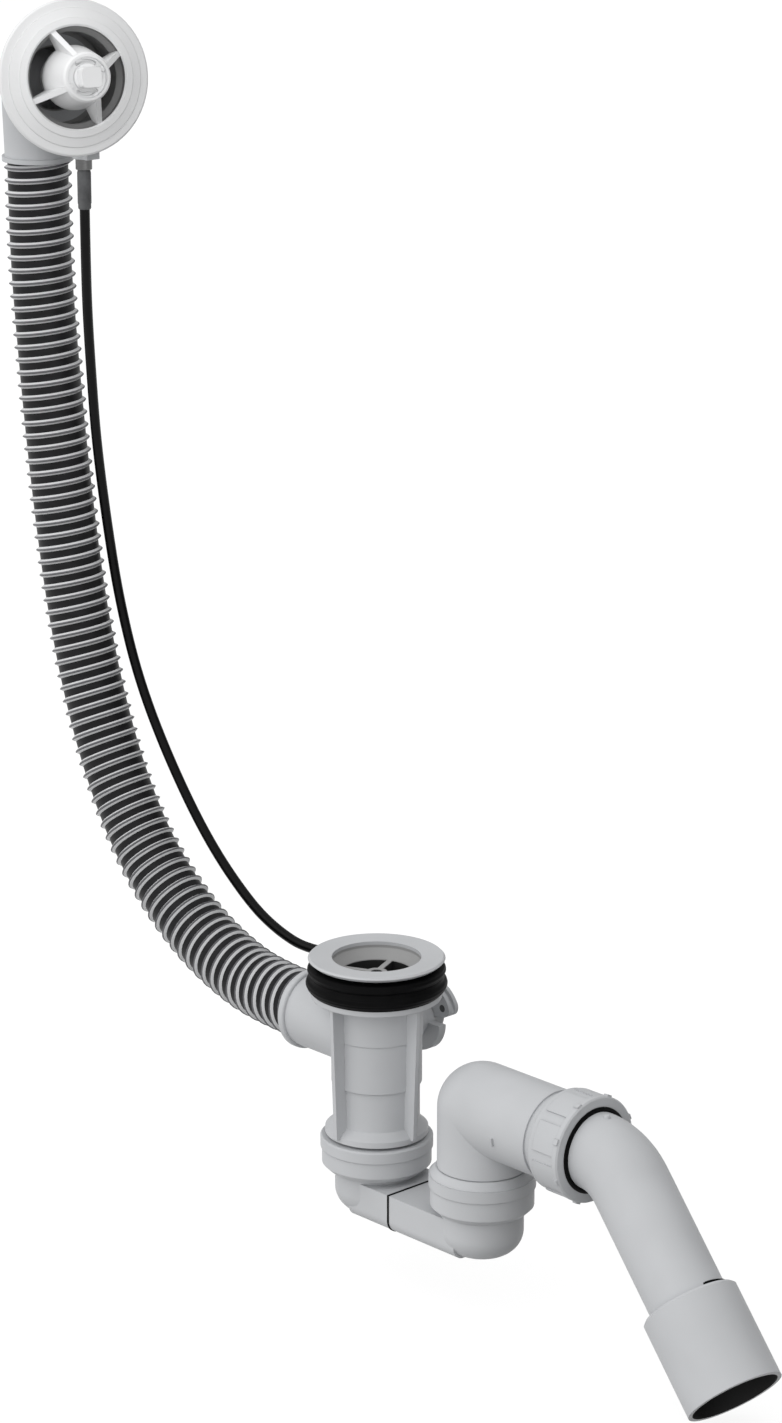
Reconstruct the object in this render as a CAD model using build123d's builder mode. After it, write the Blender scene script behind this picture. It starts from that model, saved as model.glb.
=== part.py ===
"""Bath waste and overflow with a cable-operated lifter and a flat tubular trap.

Frame: the origin is on the drain axis at the bath-floor seat under the flange, +Z is up,
and +X runs from the drain towards the outlet. The overflow stands behind, at -X.
All sizes are in millimetres.
"""
import os
from math import cos, pi, radians, sin, tan

from build123d import *

os.makedirs("parts", exist_ok=True)

# Clearances
running = 0.05  # shaft in its bore, radial
slip = 0.1  # push fit, radial
free_gap = 0.3  # faces of bodies that move past each other

# Drain flange
flange_r = 35.7
flange_t = 2.7
flange_edge = 1.0
mouth_r = 23.2
mouth_depth = 1.0
throat_r = 18.5
throat_depth = 6.0
tail_r = 25.4
tail_len = 15.5
bar_w = 3.0
bar_h = 5.0
bar_count = 4
bar_turn = 25.0
guide_r = 5.5
guide_h = 8.0

# Bath that the part is clamped to
bath_floor_t = 2.2
bath_wall_t = 2.2

# Gasket between bath floor and waste body
gasket_h = 13.8
gasket_top_r = 33.0
gasket_neck_r = 30.5
gasket_lip_r = 37.3
gasket_lip_h = 7.0

# Waste body
wall = 2.4
barrel_r = 24.2
barrel_mid_r = 23.7
barrel_low_r = 22.6
barrel_mid_z = -39.5
barrel_low_z = -65.6
body_flange_r = 34.0
body_flange_t = 3.0
neck_r = 28.0
neck_drop = 2.5
collar_r = 27.0
collar_top_z = -91.0
collar_h = 3.0
collar_cone = 4.0
spigot_r = 21.6
spigot_end_z = -110.0
fin_top_r = 32.0
fin_bottom_r = 29.2
fin_t = 2.5
fin_count = 4
fin_end_z = -92.0

# Overflow hose
hose_core_r = 16.3
hose_rib_r = 18.2
hose_bore_r = 14.2
rib_pitch = 6.9
bore_stride = 3

# Side stub that takes the hose
stub_z = -40.3
stub_mouth_x = -54.0
stub_wall = 1.7
stub_bead = 1.6
stub_bead_w = 4.5
hose_grip = 26.0
hose_seal_t = 1.2
hose_seal_len = 4.5

# Lifter: shaft across the barrel, finger under the pin, cable quadrant outside
shaft_x = -12.0
shaft_z = -45.5
shaft_r = 4.0
shaft_swing = 40.0
finger_len = 12.0
finger_tip_r = 2.5
finger_arm_t = 3.0
finger_w = 6.0
boss_r = 8.5
boss_end_y = 40.0
seal_r = 6.3
seal_w = 3.0
pin_r = 3.0
pin_top_z = -7.0
quadrant_r = 21.0
quadrant_t = 7.0
quadrant_hub_r = 8.0
quadrant_from = 12.0
quadrant_to = 100.0
quadrant_round = 5.0
groove_w = 2.4
groove_depth = 2.0
nipple_r = 2.0
nipple_inset = 5.0
nipple_turn = 30.0

# Cable bracket on the shaft boss
bracket_t = 5.0
bracket_r = 17.0
bracket_arm_w = 9.0
socket_r = 4.2
socket_len = 16.0
socket_gap = 15.5

# Bowden cable
sheath_r = 2.7
boot_r = 3.7
boot_len = 21.0
ferrule_r = 4.4
ferrule_len = 6.0
cable_drop = 42.0

# Overflow head: its axis leaves the hose axis turned from +X and tilted up
head_x = -266.5
head_z = 428.5
head_turn = -20.0
head_tilt = 8.0
elbow_pipe_r = 18.9
elbow_pipe_end_r = 17.6
elbow_throat = 28.0
elbow_cone = 6.0
elbow_flange_r = 34.0
elbow_flange_t = 3.5
elbow_front = 56.3
hose_collar_r = 19.2
hose_collar_t = 2.5
hose_collar_z = 385.0
elbow_spigot_len = 22.0
outlet_boss_r = 6.0
outlet_boss_h = 18.0
outlet_ear = 8.0
head_gasket_t = 3.0

# Face plate of the overflow
plate_r = 40.8
plate_edge = 2.8
plate_step_r = 36.0
plate_ring_r = 31.0
plate_rise = 7.0
opening_r = 26.5
sleeve_r = 25.6
sleeve_bore_r = 23.8
sleeve_len = 14.0
spoke_count = 4
spoke_t = 3.0
spoke_turn = 25.0
hub_r = 16.8
hub_front_r = 13.0
hub_front = 24.0
hub_recess_r = 10.5
hub_recess = 2.0
hub_bearing = 27.0
hub_bearing_r = 9.0
slot_r = 8.6
slot_w = 1.6
slot_arc = 70.0
slot_turns = (90.0, 270.0)

# Drive spindle and wire drum
spindle_r = 6.0
spindle_collar_r = 7.2
spindle_collar_t = 1.6
square_w = 10.6
square_len = 7.5
square_round = 2.0
drum_r = 9.5
drum_rim_r = 12.5
drum_w = 8.0
drum_u = 48.5

# Trap: two cups joined by a flat duct
cup_spacing = 79.4
cup_floor_z = -137.5
cup_base_z = -113.5
bowl_round = 13.0
duct_w = 40.4
duct_top_z = -116.4
duct_round = 7.0
seam_x = 30.0
seam_t = 0.8
seam_seal_inset = 0.6
inlet_cup_r = 29.6
inlet_cup_band = 6.3
inlet_cup_top_z = -95.5
inlet_bowl_r = 22.0
outlet_cup_r = 27.6
outlet_cup_band = 6.4
outlet_cup_top_z = -90.0
outlet_cup_cone = 4.0
outlet_bowl_r = 21.5
band_step = 0.8
cup_chamfer = 3.0
cup_seal_h = 6.0
cup_seal_depth = 2.4

# Riser elbow, union nut and outlet
riser_r = 23.3
riser_wall = 2.6
riser_end_z = -107.0
leg_z = -58.1
leg_end_x = 154.0
thread_len = 22.0
thread_step = 0.9
nut_rear_x = 138.0
nut_front_x = 159.5
nut_wall = 3.1
nut_rim = 1.0
nut_rim_w = 3.5
nut_pad_count = 8
nut_pad_arc = 33.0
nut_pad_h = 0.8
nut_pad_inset = 4.0
nut_lug_w = 3.0
nut_lip_gap = 1.8
union_seal_h = 3.0
outlet_r = 20.0
outlet_wall = 2.0
outlet_reach = 96.1
outlet_start_x = 128.0
outlet_drop = 45.0
outlet_bend_r = 36.0
outlet_swivel = 8.0
sleeve_start = 80.0
sleeve_end = 131.4
outlet_sleeve_r = 25.0
outlet_sleeve_wall = 2.2
outlet_sleeve_grip = 22.0
outlet_sleeve_chamfer = 1.5
sleeve_seal_h = 6.0
sleeve_seal_depth = 1.8

# Hose route in the XZ plane, from inside the stub up to the overflow
hose_corners = (
    (-82, stub_z),
    (-117, -32),
    (-150, -16),
    (-184, 13),
    (-209, 50.8),
    (-227, 93),
    (-240.5, 140.5),
    (-249.6, 190),
    (-256.6, 239),
    (-262, 288),
    (head_x, 338),
)

# Cable route from the boot down to the bracket, beside the hose and behind the drain
cable_corners = (
    (-226, -0.8, 309.7),
    (-231.5, 5.8, 269.5),
    (-235, 11.2, 233),
    (-233.5, 16, 189),
    (-225, 17, 145.5),
    (-210.5, 18, 102.5),
    (-187.5, 20, 61),
    (-159.5, 23, 21.3),
    (-131, 27, -7.2),
    (-112, 31, -20),
    (-93, 36.5, -27.5),
)


def meridian(angle, origin=(0, 0, 0)):
    """Upright plane through an axis along Z: local x is radial at this angle, local y is +Z."""
    turn = radians(angle)
    return Plane(origin=origin, x_dir=(cos(turn), sin(turn), 0), z_dir=(sin(turn), -cos(turn), 0))


def corner_radii(points):
    """Largest tidy radius at each inner corner of a route: 0.45 of the shorter run there."""
    places = [Vector(*point) for point in points]
    radii = []
    for before, corner, after in zip(places, places[1:], places[2:]):
        turn = radians((corner - before).get_angle(after - corner))
        shorter = min((corner - before).length, (after - corner).length)
        radii.append(0.45 * shorter / tan(turn / 2))
    return radii


def save(block, name):
    """Label a finished piece and write its STEP file."""
    block.part.label = name
    export_step(block.part, f"parts/{name}.step")


head_origin = Vector(head_x, 0, head_z)
head_level = Vector(cos(radians(head_turn)), sin(radians(head_turn)), 0)
head_out = head_level * cos(radians(head_tilt)) + Vector(0, 0, sin(radians(head_tilt)))
head_side = Vector(-sin(radians(head_turn)), cos(radians(head_turn)), 0)
head_axis = Axis(head_origin, head_out)
head_section = Plane(origin=head_origin, x_dir=head_side, z_dir=head_side.cross(head_out))
head_face = Plane(origin=head_origin, x_dir=head_side, z_dir=head_out)

plate_back = elbow_front + head_gasket_t + bath_wall_t
plate_front = plate_back + plate_rise
hub_face = plate_back + hub_front
cable_head = head_origin + head_out * drum_u + head_side * drum_r

leg_origin = Vector(cup_spacing, 0, leg_z)
leg_axis = Axis(leg_origin, (1, 0, 0))
leg_section = Plane(origin=leg_origin, x_dir=(0, 0, 1), z_dir=(0, 1, 0))

swivel = radians(outlet_swivel)
outlet_plane = Plane(origin=leg_origin, x_dir=(1, 0, 0), z_dir=(0, -cos(swivel), sin(swivel)))
drop = radians(outlet_drop)
outlet_vertex = leg_origin + Vector(outlet_reach, 0, 0)
outlet_dir = outlet_plane.x_dir * cos(drop) - outlet_plane.y_dir * sin(drop)
outlet_side = outlet_plane.x_dir * sin(drop) + outlet_plane.y_dir * cos(drop)
outlet_axis = Axis(outlet_vertex, outlet_dir)
outlet_section = Plane(origin=outlet_vertex, x_dir=outlet_side, z_dir=outlet_side.cross(outlet_dir))

nut_r = riser_r + nut_wall
nut_rim_r = nut_r + nut_rim

neck_bore_r = tail_r + slip
barrel_bore_r = spigot_r - wall
stub_bore_r = hose_rib_r + slip
stub_r = stub_bore_r + stub_wall
gasket_top_z = -bath_floor_t
body_top_z = gasket_top_z - gasket_h
tail_end_z = -tail_len

# Drain flange: dished rim, funnel, threaded tail, strainer cross with the pin guide
with BuildPart() as drain_flange:
    with BuildSketch(Plane.XZ):
        with BuildLine():
            Polyline(
                (throat_r, tail_end_z),
                (tail_r, tail_end_z),
                (tail_r, 0),
                (flange_r - 2 * flange_edge, 0),
                (flange_r, flange_t - flange_edge),
                (flange_r - flange_edge, flange_t),
                (mouth_r, flange_t - flange_edge / 2),
                (mouth_r, -mouth_depth),
                (throat_r, -throat_depth),
                close=True,
            )
        make_face()
    revolve(axis=Axis.Z)
    with BuildSketch(Plane.XY.offset(-throat_depth)):
        with PolarLocations(0, bar_count, start_angle=bar_turn):
            with Locations(((throat_r + slip) / 2, 0)):
                Rectangle(throat_r + slip, bar_w)
        Circle(guide_r)
    extrude(amount=-bar_h)
    with BuildSketch(Plane.XY.offset(-throat_depth)):
        Circle(guide_r)
    extrude(amount=-guide_h)
    with BuildSketch(Plane.XY.offset(-throat_depth)):
        Circle(pin_r + running)
    extrude(amount=-guide_h, mode=Mode.SUBTRACT)
save(drain_flange, "drain_flange")

# Rubber gasket: waisted ring with a fat lower lip
with BuildPart() as body_gasket:
    with BuildSketch(Plane.XZ):
        with BuildLine():
            lip_top = body_top_z + gasket_lip_h
            lip_start = gasket_lip_r - gasket_lip_h / 2
            Polyline(
                (lip_start, body_top_z),
                (neck_r + slip, body_top_z),
                (neck_r + slip, gasket_top_z),
                (gasket_top_r, gasket_top_z),
            )
            waist_z = (gasket_top_z + lip_top) / 2
            ThreePointArc((gasket_top_r, gasket_top_z), (gasket_neck_r, waist_z), (lip_start, lip_top))
            RadiusArc((lip_start, lip_top), (lip_start, body_top_z), gasket_lip_h / 2)
        make_face()
    revolve(axis=Axis.Z)
save(body_gasket, "body_gasket")

# Waste body: stepped barrel with fins, hose stub, shaft boss, collar and spigot
with BuildPart() as waste_body:
    with BuildSketch(Plane.XZ):
        with BuildLine():
            Polyline(
                (0, spigot_end_z),
                (spigot_r, spigot_end_z),
                (spigot_r, collar_top_z - collar_h),
                (collar_r, collar_top_z - collar_h),
                (collar_r, collar_top_z),
                (barrel_low_r, collar_top_z + collar_cone),
                (barrel_low_r, barrel_low_z),
                (barrel_mid_r, barrel_low_z),
                (barrel_mid_r, barrel_mid_z),
                (barrel_r, barrel_mid_z),
                (barrel_r, body_top_z - body_flange_t),
                (body_flange_r, body_top_z - body_flange_t),
                (body_flange_r, body_top_z),
                (neck_r, body_top_z),
                (neck_r, -neck_drop),
                (0, -neck_drop),
                close=True,
            )
        make_face()
    revolve(axis=Axis.Z)
    for index in range(fin_count):
        with BuildSketch(meridian(360 / fin_count * index)):
            with BuildLine():
                Polyline(
                    (barrel_bore_r, body_top_z - body_flange_t),
                    (fin_top_r, body_top_z - body_flange_t),
                    (fin_bottom_r, fin_end_z),
                    (barrel_bore_r, fin_end_z),
                    close=True,
                )
            make_face()
        extrude(amount=fin_t / 2, both=True)
    with BuildSketch(Plane.YZ):
        with Locations((0, stub_z)):
            Circle(stub_r)
    extrude(amount=stub_mouth_x)
    with BuildSketch(Plane.YZ.offset(stub_mouth_x)):
        with Locations((0, stub_z)):
            Circle(stub_r + stub_bead)
    extrude(amount=stub_bead_w)
    bead_edges = waste_body.edges().filter_by(GeomType.CIRCLE).filter_by(
        lambda edge: abs(edge.radius - stub_r - stub_bead) < 0.01
    )
    fillet(bead_edges, stub_bead * 0.8)
    with BuildSketch(Plane.XZ):
        with Locations((shaft_x, shaft_z)):
            Circle(boss_r)
    extrude(amount=-boss_end_y)
    with BuildSketch(Plane.YZ.offset(stub_mouth_x)):
        with Locations((0, stub_z)):
            Circle(stub_bore_r)
    extrude(amount=hose_grip, mode=Mode.SUBTRACT)
    with BuildSketch(Plane.YZ.offset(stub_mouth_x)):
        with Locations((0, stub_z)):
            Circle(hose_rib_r + hose_seal_t)
    extrude(amount=hose_seal_len, mode=Mode.SUBTRACT)
    with BuildSketch(Plane.YZ.offset(stub_mouth_x)):
        with Locations((0, stub_z)):
            Circle(hose_bore_r)
    extrude(amount=-stub_mouth_x, mode=Mode.SUBTRACT)
    with BuildSketch(Plane.XZ):
        with Locations((shaft_x, shaft_z)):
            Circle(shaft_r + running)
    extrude(amount=-boss_end_y, mode=Mode.SUBTRACT)
    with BuildSketch(Plane.XZ.offset(-boss_end_y)):
        with Locations((shaft_x, shaft_z)):
            Circle(seal_r)
    extrude(amount=seal_w, mode=Mode.SUBTRACT)
    with BuildSketch(Plane.XY.offset(spigot_end_z)):
        Circle(barrel_bore_r)
    extrude(amount=-spigot_end_z, mode=Mode.SUBTRACT)
    with BuildSketch(Plane.XY.offset(tail_end_z - free_gap)):
        Circle(neck_bore_r)
    extrude(amount=tail_len, mode=Mode.SUBTRACT)
save(waste_body, "waste_body")

# Lifter shaft with its finger, built across the barrel along Y
finger_rest = radians(shaft_swing / 2)
finger_x = shaft_x + finger_len * cos(finger_rest)
finger_z = shaft_z - finger_len * sin(finger_rest)
bracket_y = boss_end_y
quadrant_y = bracket_y + bracket_t + free_gap
shaft_end_y = quadrant_y + quadrant_t
with BuildPart() as lifter_shaft:
    with BuildSketch(Plane.XZ.offset(finger_w / 2)):
        with Locations((shaft_x, shaft_z)):
            Circle(shaft_r)
    extrude(amount=-(finger_w / 2 + shaft_end_y))
    arm_place = Location((shaft_x, shaft_z), -shaft_swing / 2)
    with BuildSketch(Plane.XZ.offset(finger_w / 2)):
        with Locations(arm_place):
            with Locations((finger_len / 2, 0)):
                Rectangle(finger_len, finger_arm_t)
            with Locations((finger_len, 0)):
                Circle(finger_tip_r)
    extrude(amount=-finger_w)
save(lifter_shaft, "lifter_shaft")

# O-ring at the end of the shaft boss
with BuildPart() as shaft_seal:
    with BuildSketch(Plane.XZ.offset(-boss_end_y)):
        with Locations((shaft_x, shaft_z)):
            Circle(seal_r)
            Circle(shaft_r + running, mode=Mode.SUBTRACT)
    extrude(amount=seal_w)
save(shaft_seal, "shaft_seal")

# Lifter pin in the guide of the strainer cross
pin_foot_z = finger_z + finger_tip_r + free_gap
with BuildPart() as lifter_pin:
    with BuildSketch(Plane.XZ):
        with BuildLine():
            Polyline(
                (0, pin_foot_z),
                (pin_r, pin_foot_z),
                (pin_r, pin_top_z - pin_r / 3),
                (pin_r * 2 / 3, pin_top_z),
                (0, pin_top_z),
                close=True,
            )
        make_face()
    revolve(axis=Axis.Z)
save(lifter_pin, "lifter_pin")

# Cable quadrant on the outer end of the shaft, with a rim groove for the wire
quadrant_face = Plane(origin=(shaft_x, quadrant_y, shaft_z), x_dir=(1, 0, 0), z_dir=(0, -1, 0))
nipple_place = (
    (quadrant_r - nipple_inset) * cos(radians(nipple_turn)),
    (quadrant_r - nipple_inset) * sin(radians(nipple_turn)),
)
with BuildPart() as cable_quadrant:
    with BuildSketch(quadrant_face):
        with BuildLine():
            rim = CenterArc((0, 0), quadrant_r, quadrant_from, quadrant_to - quadrant_from)
            Line(rim @ 1, (0, 0))
            Line((0, 0), rim @ 0)
        make_face()
        Circle(quadrant_hub_r)
    extrude(amount=-quadrant_t)
    tips = cable_quadrant.edges().filter_by(Axis.Y).sort_by(lambda edge: -(edge.center() - quadrant_face.origin).length)
    fillet(tips[0:2], quadrant_round)
    with BuildSketch(quadrant_face.offset(-(quadrant_t - groove_w) / 2)):
        Circle(quadrant_r + groove_depth)
        Circle(quadrant_r - groove_depth, mode=Mode.SUBTRACT)
    extrude(amount=-groove_w, mode=Mode.SUBTRACT)
    with BuildSketch(quadrant_face):
        Circle(shaft_r)
        with Locations(nipple_place):
            Circle(nipple_r)
    extrude(amount=-quadrant_t, mode=Mode.SUBTRACT)
save(cable_quadrant, "cable_quadrant")

# Barrel nipple on the lower wire end, in its pocket in the quadrant
with BuildPart() as wire_nipple_lower:
    with BuildSketch(quadrant_face):
        with Locations(nipple_place):
            Circle(nipple_r)
    extrude(amount=-quadrant_t)
save(wire_nipple_lower, "wire_nipple_lower")

# Cable bracket: quarter-round guard on the boss, arm and socket for the sheath end
socket_y = quadrant_y + quadrant_t / 2
socket_z = shaft_z + quadrant_r - groove_depth / 2
socket_front_x = shaft_x - socket_gap
bracket_face = Plane(origin=(shaft_x, bracket_y, shaft_z), x_dir=(1, 0, 0), z_dir=(0, -1, 0))
with BuildPart() as cable_bracket:
    with BuildSketch(bracket_face):
        with BuildLine():
            guard = CenterArc((0, 0), bracket_r, -90, 90)
            Line(guard @ 1, (0, 0))
            Line((0, 0), guard @ 0)
        make_face()
        Circle(boss_r)
        with Locations((socket_front_x - socket_len / 2 - shaft_x, (socket_z - shaft_z) / 2)):
            Rectangle(bracket_arm_w, socket_z - shaft_z)
        with Locations((-socket_len / 2 - socket_gap / 2, 0)):
            Rectangle(socket_len + socket_gap, bracket_arm_w)
        Circle(shaft_r + free_gap, mode=Mode.SUBTRACT)
    extrude(amount=-bracket_t)
    with BuildSketch(Plane.YZ.offset(socket_front_x)):
        with Locations((socket_y, socket_z)):
            Circle(socket_r)
        with Locations(((bracket_y + socket_y) / 2, socket_z)):
            Rectangle(socket_y - bracket_y, 2 * socket_r)
    extrude(amount=-socket_len)
    with BuildSketch(Plane.YZ.offset(socket_front_x - socket_len)):
        with Locations((socket_y, socket_z)):
            Circle(sheath_r)
    extrude(amount=socket_len * 0.6, mode=Mode.SUBTRACT)
    with BuildSketch(Plane.YZ.offset(socket_front_x)):
        with Locations((socket_y, socket_z)):
            Circle(groove_w / 2)
    extrude(amount=-socket_len, mode=Mode.SUBTRACT)
save(cable_bracket, "cable_bracket")

# Overflow hose: ribbed tube along its bent route
hose_start = stub_mouth_x + hose_grip
hose_points = [(hose_start, 0, stub_z)]
hose_points += [(x, 0, z) for x, z in hose_corners]
hose_points += [(head_x, 0, hose_collar_z)]
hose_radii = corner_radii(hose_points)
print("hose bend radii", [round(radius) for radius in hose_radii])

with BuildLine():
    hose_route = FilletPolyline(*hose_points, radius=hose_radii)
rib_count = round(hose_route.length / rib_pitch)


def hose_ring(ribs_along, radius):
    """Circle square to the hose route, this many ribs from its lower end."""
    along = ribs_along / rib_count
    with BuildSketch(Plane(origin=hose_route @ along, x_dir=(0, 1, 0), z_dir=hose_route % along)) as ring:
        Circle(radius)
    return ring.sketch


with BuildPart() as overflow_hose:
    rings = [hose_ring(0, hose_core_r)]
    for index in range(rib_count):
        rings.append(hose_ring(index + 0.5, hose_rib_r))
        rings.append(hose_ring(index + 1, hose_core_r))
    loft(rings, ruled=True)
    bores = [hose_ring(index, hose_bore_r) for index in range(0, rib_count, bore_stride)]
    bores.append(hose_ring(rib_count, hose_bore_r))
    loft(bores, ruled=True, mode=Mode.SUBTRACT)
print("hose length", round(hose_route.length, 1), "ribs", rib_count)
save(overflow_hose, "overflow_hose")

# Overflow elbow: round chamber facing the bath wall, pipe down to the hose, cable outlet boss
hose_spigot_r = hose_bore_r - slip
elbow_bore_r = hose_spigot_r - wall
chamber_bore_r = sleeve_r + slip
throat_end = elbow_front - elbow_throat
with BuildPart() as overflow_elbow:
    with BuildSketch(head_section):
        with BuildLine():
            chamber_r = chamber_bore_r + wall
            CenterArc((0, 0), elbow_pipe_r, -90, 90)
            Polyline(
                (elbow_pipe_r, 0),
                (elbow_pipe_r, throat_end),
                (chamber_r, throat_end + elbow_cone),
                (chamber_r, elbow_front - elbow_flange_t),
                (elbow_flange_r, elbow_front - elbow_flange_t),
                (elbow_flange_r, elbow_front),
                (0, elbow_front),
                (0, -elbow_pipe_r),
            )
        make_face()
    revolve(axis=head_axis)
    with BuildSketch(Plane.XY.offset(head_z)):
        with Locations((head_x, 0)):
            Circle(elbow_pipe_r)
    with BuildSketch(Plane.XY.offset(hose_collar_z + hose_collar_t / 2)):
        with Locations((head_x, 0)):
            Circle(elbow_pipe_end_r)
    loft()
    with BuildSketch(Plane.XY.offset(hose_collar_z)):
        with Locations((head_x, 0)):
            Circle(hose_collar_r)
    extrude(amount=hose_collar_t)
    with BuildSketch(Plane.XY.offset(hose_collar_z)):
        with Locations((head_x, 0)):
            Circle(hose_spigot_r)
    extrude(amount=-elbow_spigot_len)
    with BuildSketch(Plane.XY.offset(head_z - cable_drop + ferrule_len)):
        with Locations((cable_head.X, cable_head.Y)):
            Circle(outlet_boss_r)
            with Locations((outlet_ear / 2, 0)):
                Rectangle(outlet_ear, outlet_boss_r * 1.4)
    extrude(amount=outlet_boss_h)
    with BuildSketch(head_section):
        with BuildLine():
            ball_bore_r = elbow_pipe_r - wall
            CenterArc((0, 0), ball_bore_r, -90, 90)
            Polyline(
                (ball_bore_r, 0),
                (ball_bore_r, throat_end + wall),
                (chamber_bore_r, throat_end + elbow_cone + wall),
                (chamber_bore_r, elbow_front),
                (0, elbow_front),
                (0, -ball_bore_r),
            )
        make_face()
    revolve(axis=head_axis, mode=Mode.SUBTRACT)
    with BuildSketch(Plane.XY.offset(hose_collar_z - elbow_spigot_len)):
        with Locations((head_x, 0)):
            Circle(elbow_bore_r)
    extrude(amount=head_z - hose_collar_z + elbow_spigot_len, mode=Mode.SUBTRACT)
    with BuildSketch(Plane.XY.offset(head_z - cable_drop)):
        with Locations((cable_head.X, cable_head.Y)):
            Circle(groove_w / 2)
    extrude(amount=cable_drop, mode=Mode.SUBTRACT)
save(overflow_elbow, "overflow_elbow")

# Flat rubber ring between elbow flange and bath wall
with BuildPart() as overflow_gasket:
    with BuildSketch(head_face.offset(elbow_front)):
        Circle(elbow_flange_r)
        Circle(chamber_bore_r, mode=Mode.SUBTRACT)
    extrude(amount=head_gasket_t)
save(overflow_gasket, "overflow_gasket")

# Face plate: stepped disc with a sleeve into the elbow
with BuildPart() as overflow_faceplate:
    with BuildSketch(head_section):
        with BuildLine():
            Polyline(
                (sleeve_bore_r, plate_back - sleeve_len),
                (sleeve_r, plate_back - sleeve_len),
                (sleeve_r, plate_back),
                (plate_r - plate_edge / 3, plate_back),
                (plate_r, plate_back + plate_edge / 3),
                (plate_r, plate_back + plate_edge * 2 / 3),
                (plate_r - plate_edge / 3, plate_back + plate_edge),
                (plate_step_r, plate_back + plate_edge + 0.6),
                (plate_step_r, plate_back + plate_edge + 1.2),
                (plate_ring_r, plate_front - 1.4),
                (plate_ring_r, plate_front - 0.8),
                (opening_r + 1, plate_front),
                (opening_r, plate_front - 0.8),
                (opening_r, plate_back + plate_edge),
                (sleeve_bore_r, plate_back),
                close=True,
            )
        make_face()
    revolve(axis=head_axis)
save(overflow_faceplate, "overflow_faceplate")

# Hub that bears the spindle, held in the face plate's opening by four fin spokes
with BuildPart() as overflow_hub:
    for index in range(spoke_count):
        spoke_angle = radians(spoke_turn + 360 / spoke_count * index)
        spoke_dir = head_face.x_dir * cos(spoke_angle) + head_face.y_dir * sin(spoke_angle)
        with BuildSketch(Plane(origin=head_origin, x_dir=spoke_dir, z_dir=spoke_dir.cross(head_out))):
            with BuildLine():
                Polyline(
                    (hub_bearing_r - slip, plate_back),
                    (sleeve_bore_r + slip, plate_back),
                    (opening_r + slip, plate_back + plate_edge),
                    (opening_r + slip, plate_front - 1.2),
                    (hub_front_r, hub_face - 1.2),
                    (hub_bearing_r - slip, hub_face - 1.2),
                    close=True,
                )
            make_face()
        extrude(amount=spoke_t / 2, both=True)
    with BuildSketch(head_section):
        with BuildLine():
            Polyline(
                (0, hub_face - hub_bearing),
                (hub_bearing_r, hub_face - hub_bearing),
                (hub_bearing_r, plate_back),
                (hub_r, plate_back),
                (hub_r, plate_back + plate_edge),
                (hub_front_r, hub_face - 1.5),
                (hub_front_r - 1, hub_face),
                (hub_recess_r, hub_face),
                (hub_recess_r, hub_face - hub_recess),
                (0, hub_face - hub_recess),
                close=True,
            )
        make_face()
    revolve(axis=head_axis)
    with BuildSketch(head_face.offset(hub_face - hub_recess)):
        for middle in slot_turns:
            with BuildLine():
                slot_line = CenterArc((0, 0), slot_r, middle - slot_arc / 2, slot_arc)
            SlotArc(slot_line, slot_w)
    extrude(amount=-hub_recess, mode=Mode.SUBTRACT)
    with BuildSketch(head_face.offset(hub_face - hub_bearing)):
        Circle(spindle_r + running)
    extrude(amount=hub_bearing, mode=Mode.SUBTRACT)
    add(overflow_faceplate.part, mode=Mode.SUBTRACT)
save(overflow_hub, "overflow_hub")

# Drive spindle: round shank in the hub, collar, square drive end
spindle_rear = drum_u - drum_w / 2
collar_u = hub_face - hub_recess + free_gap
with BuildPart() as drive_spindle:
    with BuildSketch(head_face.offset(spindle_rear)):
        Circle(spindle_r)
    extrude(amount=collar_u - spindle_rear)
    with BuildSketch(head_face.offset(collar_u)):
        Circle(spindle_collar_r)
    extrude(amount=spindle_collar_t)
    with BuildSketch(head_face.offset(collar_u + spindle_collar_t)):
        RectangleRounded(square_w, square_w, square_round)
    extrude(amount=square_len)
save(drive_spindle, "drive_spindle")

# Wire drum pressed on the spindle behind the hub
drum_face = head_face.offset(drum_u - drum_w / 2)
with BuildPart() as wire_drum:
    with BuildSketch(head_section):
        with BuildLine():
            Polyline(
                (spindle_r, drum_u - drum_w / 2),
                (drum_rim_r, drum_u - drum_w / 2),
                (drum_rim_r, drum_u - groove_w / 2),
                (drum_r - groove_w / 2, drum_u - groove_w / 2),
                (drum_r - groove_w / 2, drum_u + groove_w / 2),
                (drum_rim_r, drum_u + groove_w / 2),
                (drum_rim_r, drum_u + drum_w / 2),
                (spindle_r, drum_u + drum_w / 2),
                close=True,
            )
        make_face()
    revolve(axis=head_axis)
    with BuildSketch(drum_face):
        with Locations((0, drum_r)):
            Circle(nipple_r)
    extrude(amount=drum_w, mode=Mode.SUBTRACT)
save(wire_drum, "wire_drum")

# Barrel nipple on the upper wire end, in the drum
with BuildPart() as wire_nipple_upper:
    with BuildSketch(drum_face):
        with Locations((0, drum_r)):
            Circle(nipple_r)
    extrude(amount=drum_w)
save(wire_nipple_upper, "wire_nipple_upper")

# Cable ferrule and boot under the overflow elbow
boot_top_z = head_z - cable_drop
boot_end_z = boot_top_z - boot_len
with BuildPart() as cable_ferrule:
    with BuildSketch(Plane.XY.offset(boot_top_z)):
        with Locations((cable_head.X, cable_head.Y)):
            Circle(ferrule_r)
            Circle(groove_w / 2, mode=Mode.SUBTRACT)
    extrude(amount=ferrule_len)
    fillet(cable_ferrule.edges().filter_by(GeomType.CIRCLE).sort_by(Axis.Z)[:1], ferrule_len / 12)
save(cable_ferrule, "cable_ferrule")

with BuildPart() as cable_boot:
    with BuildSketch(Plane.XY.offset(boot_top_z)):
        with Locations((cable_head.X, cable_head.Y)):
            Circle(boot_r)
    extrude(amount=-boot_len)
    fillet(cable_boot.faces().sort_by(Axis.Z)[0].edges(), boot_r / 4)
save(cable_boot, "cable_boot")

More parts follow.
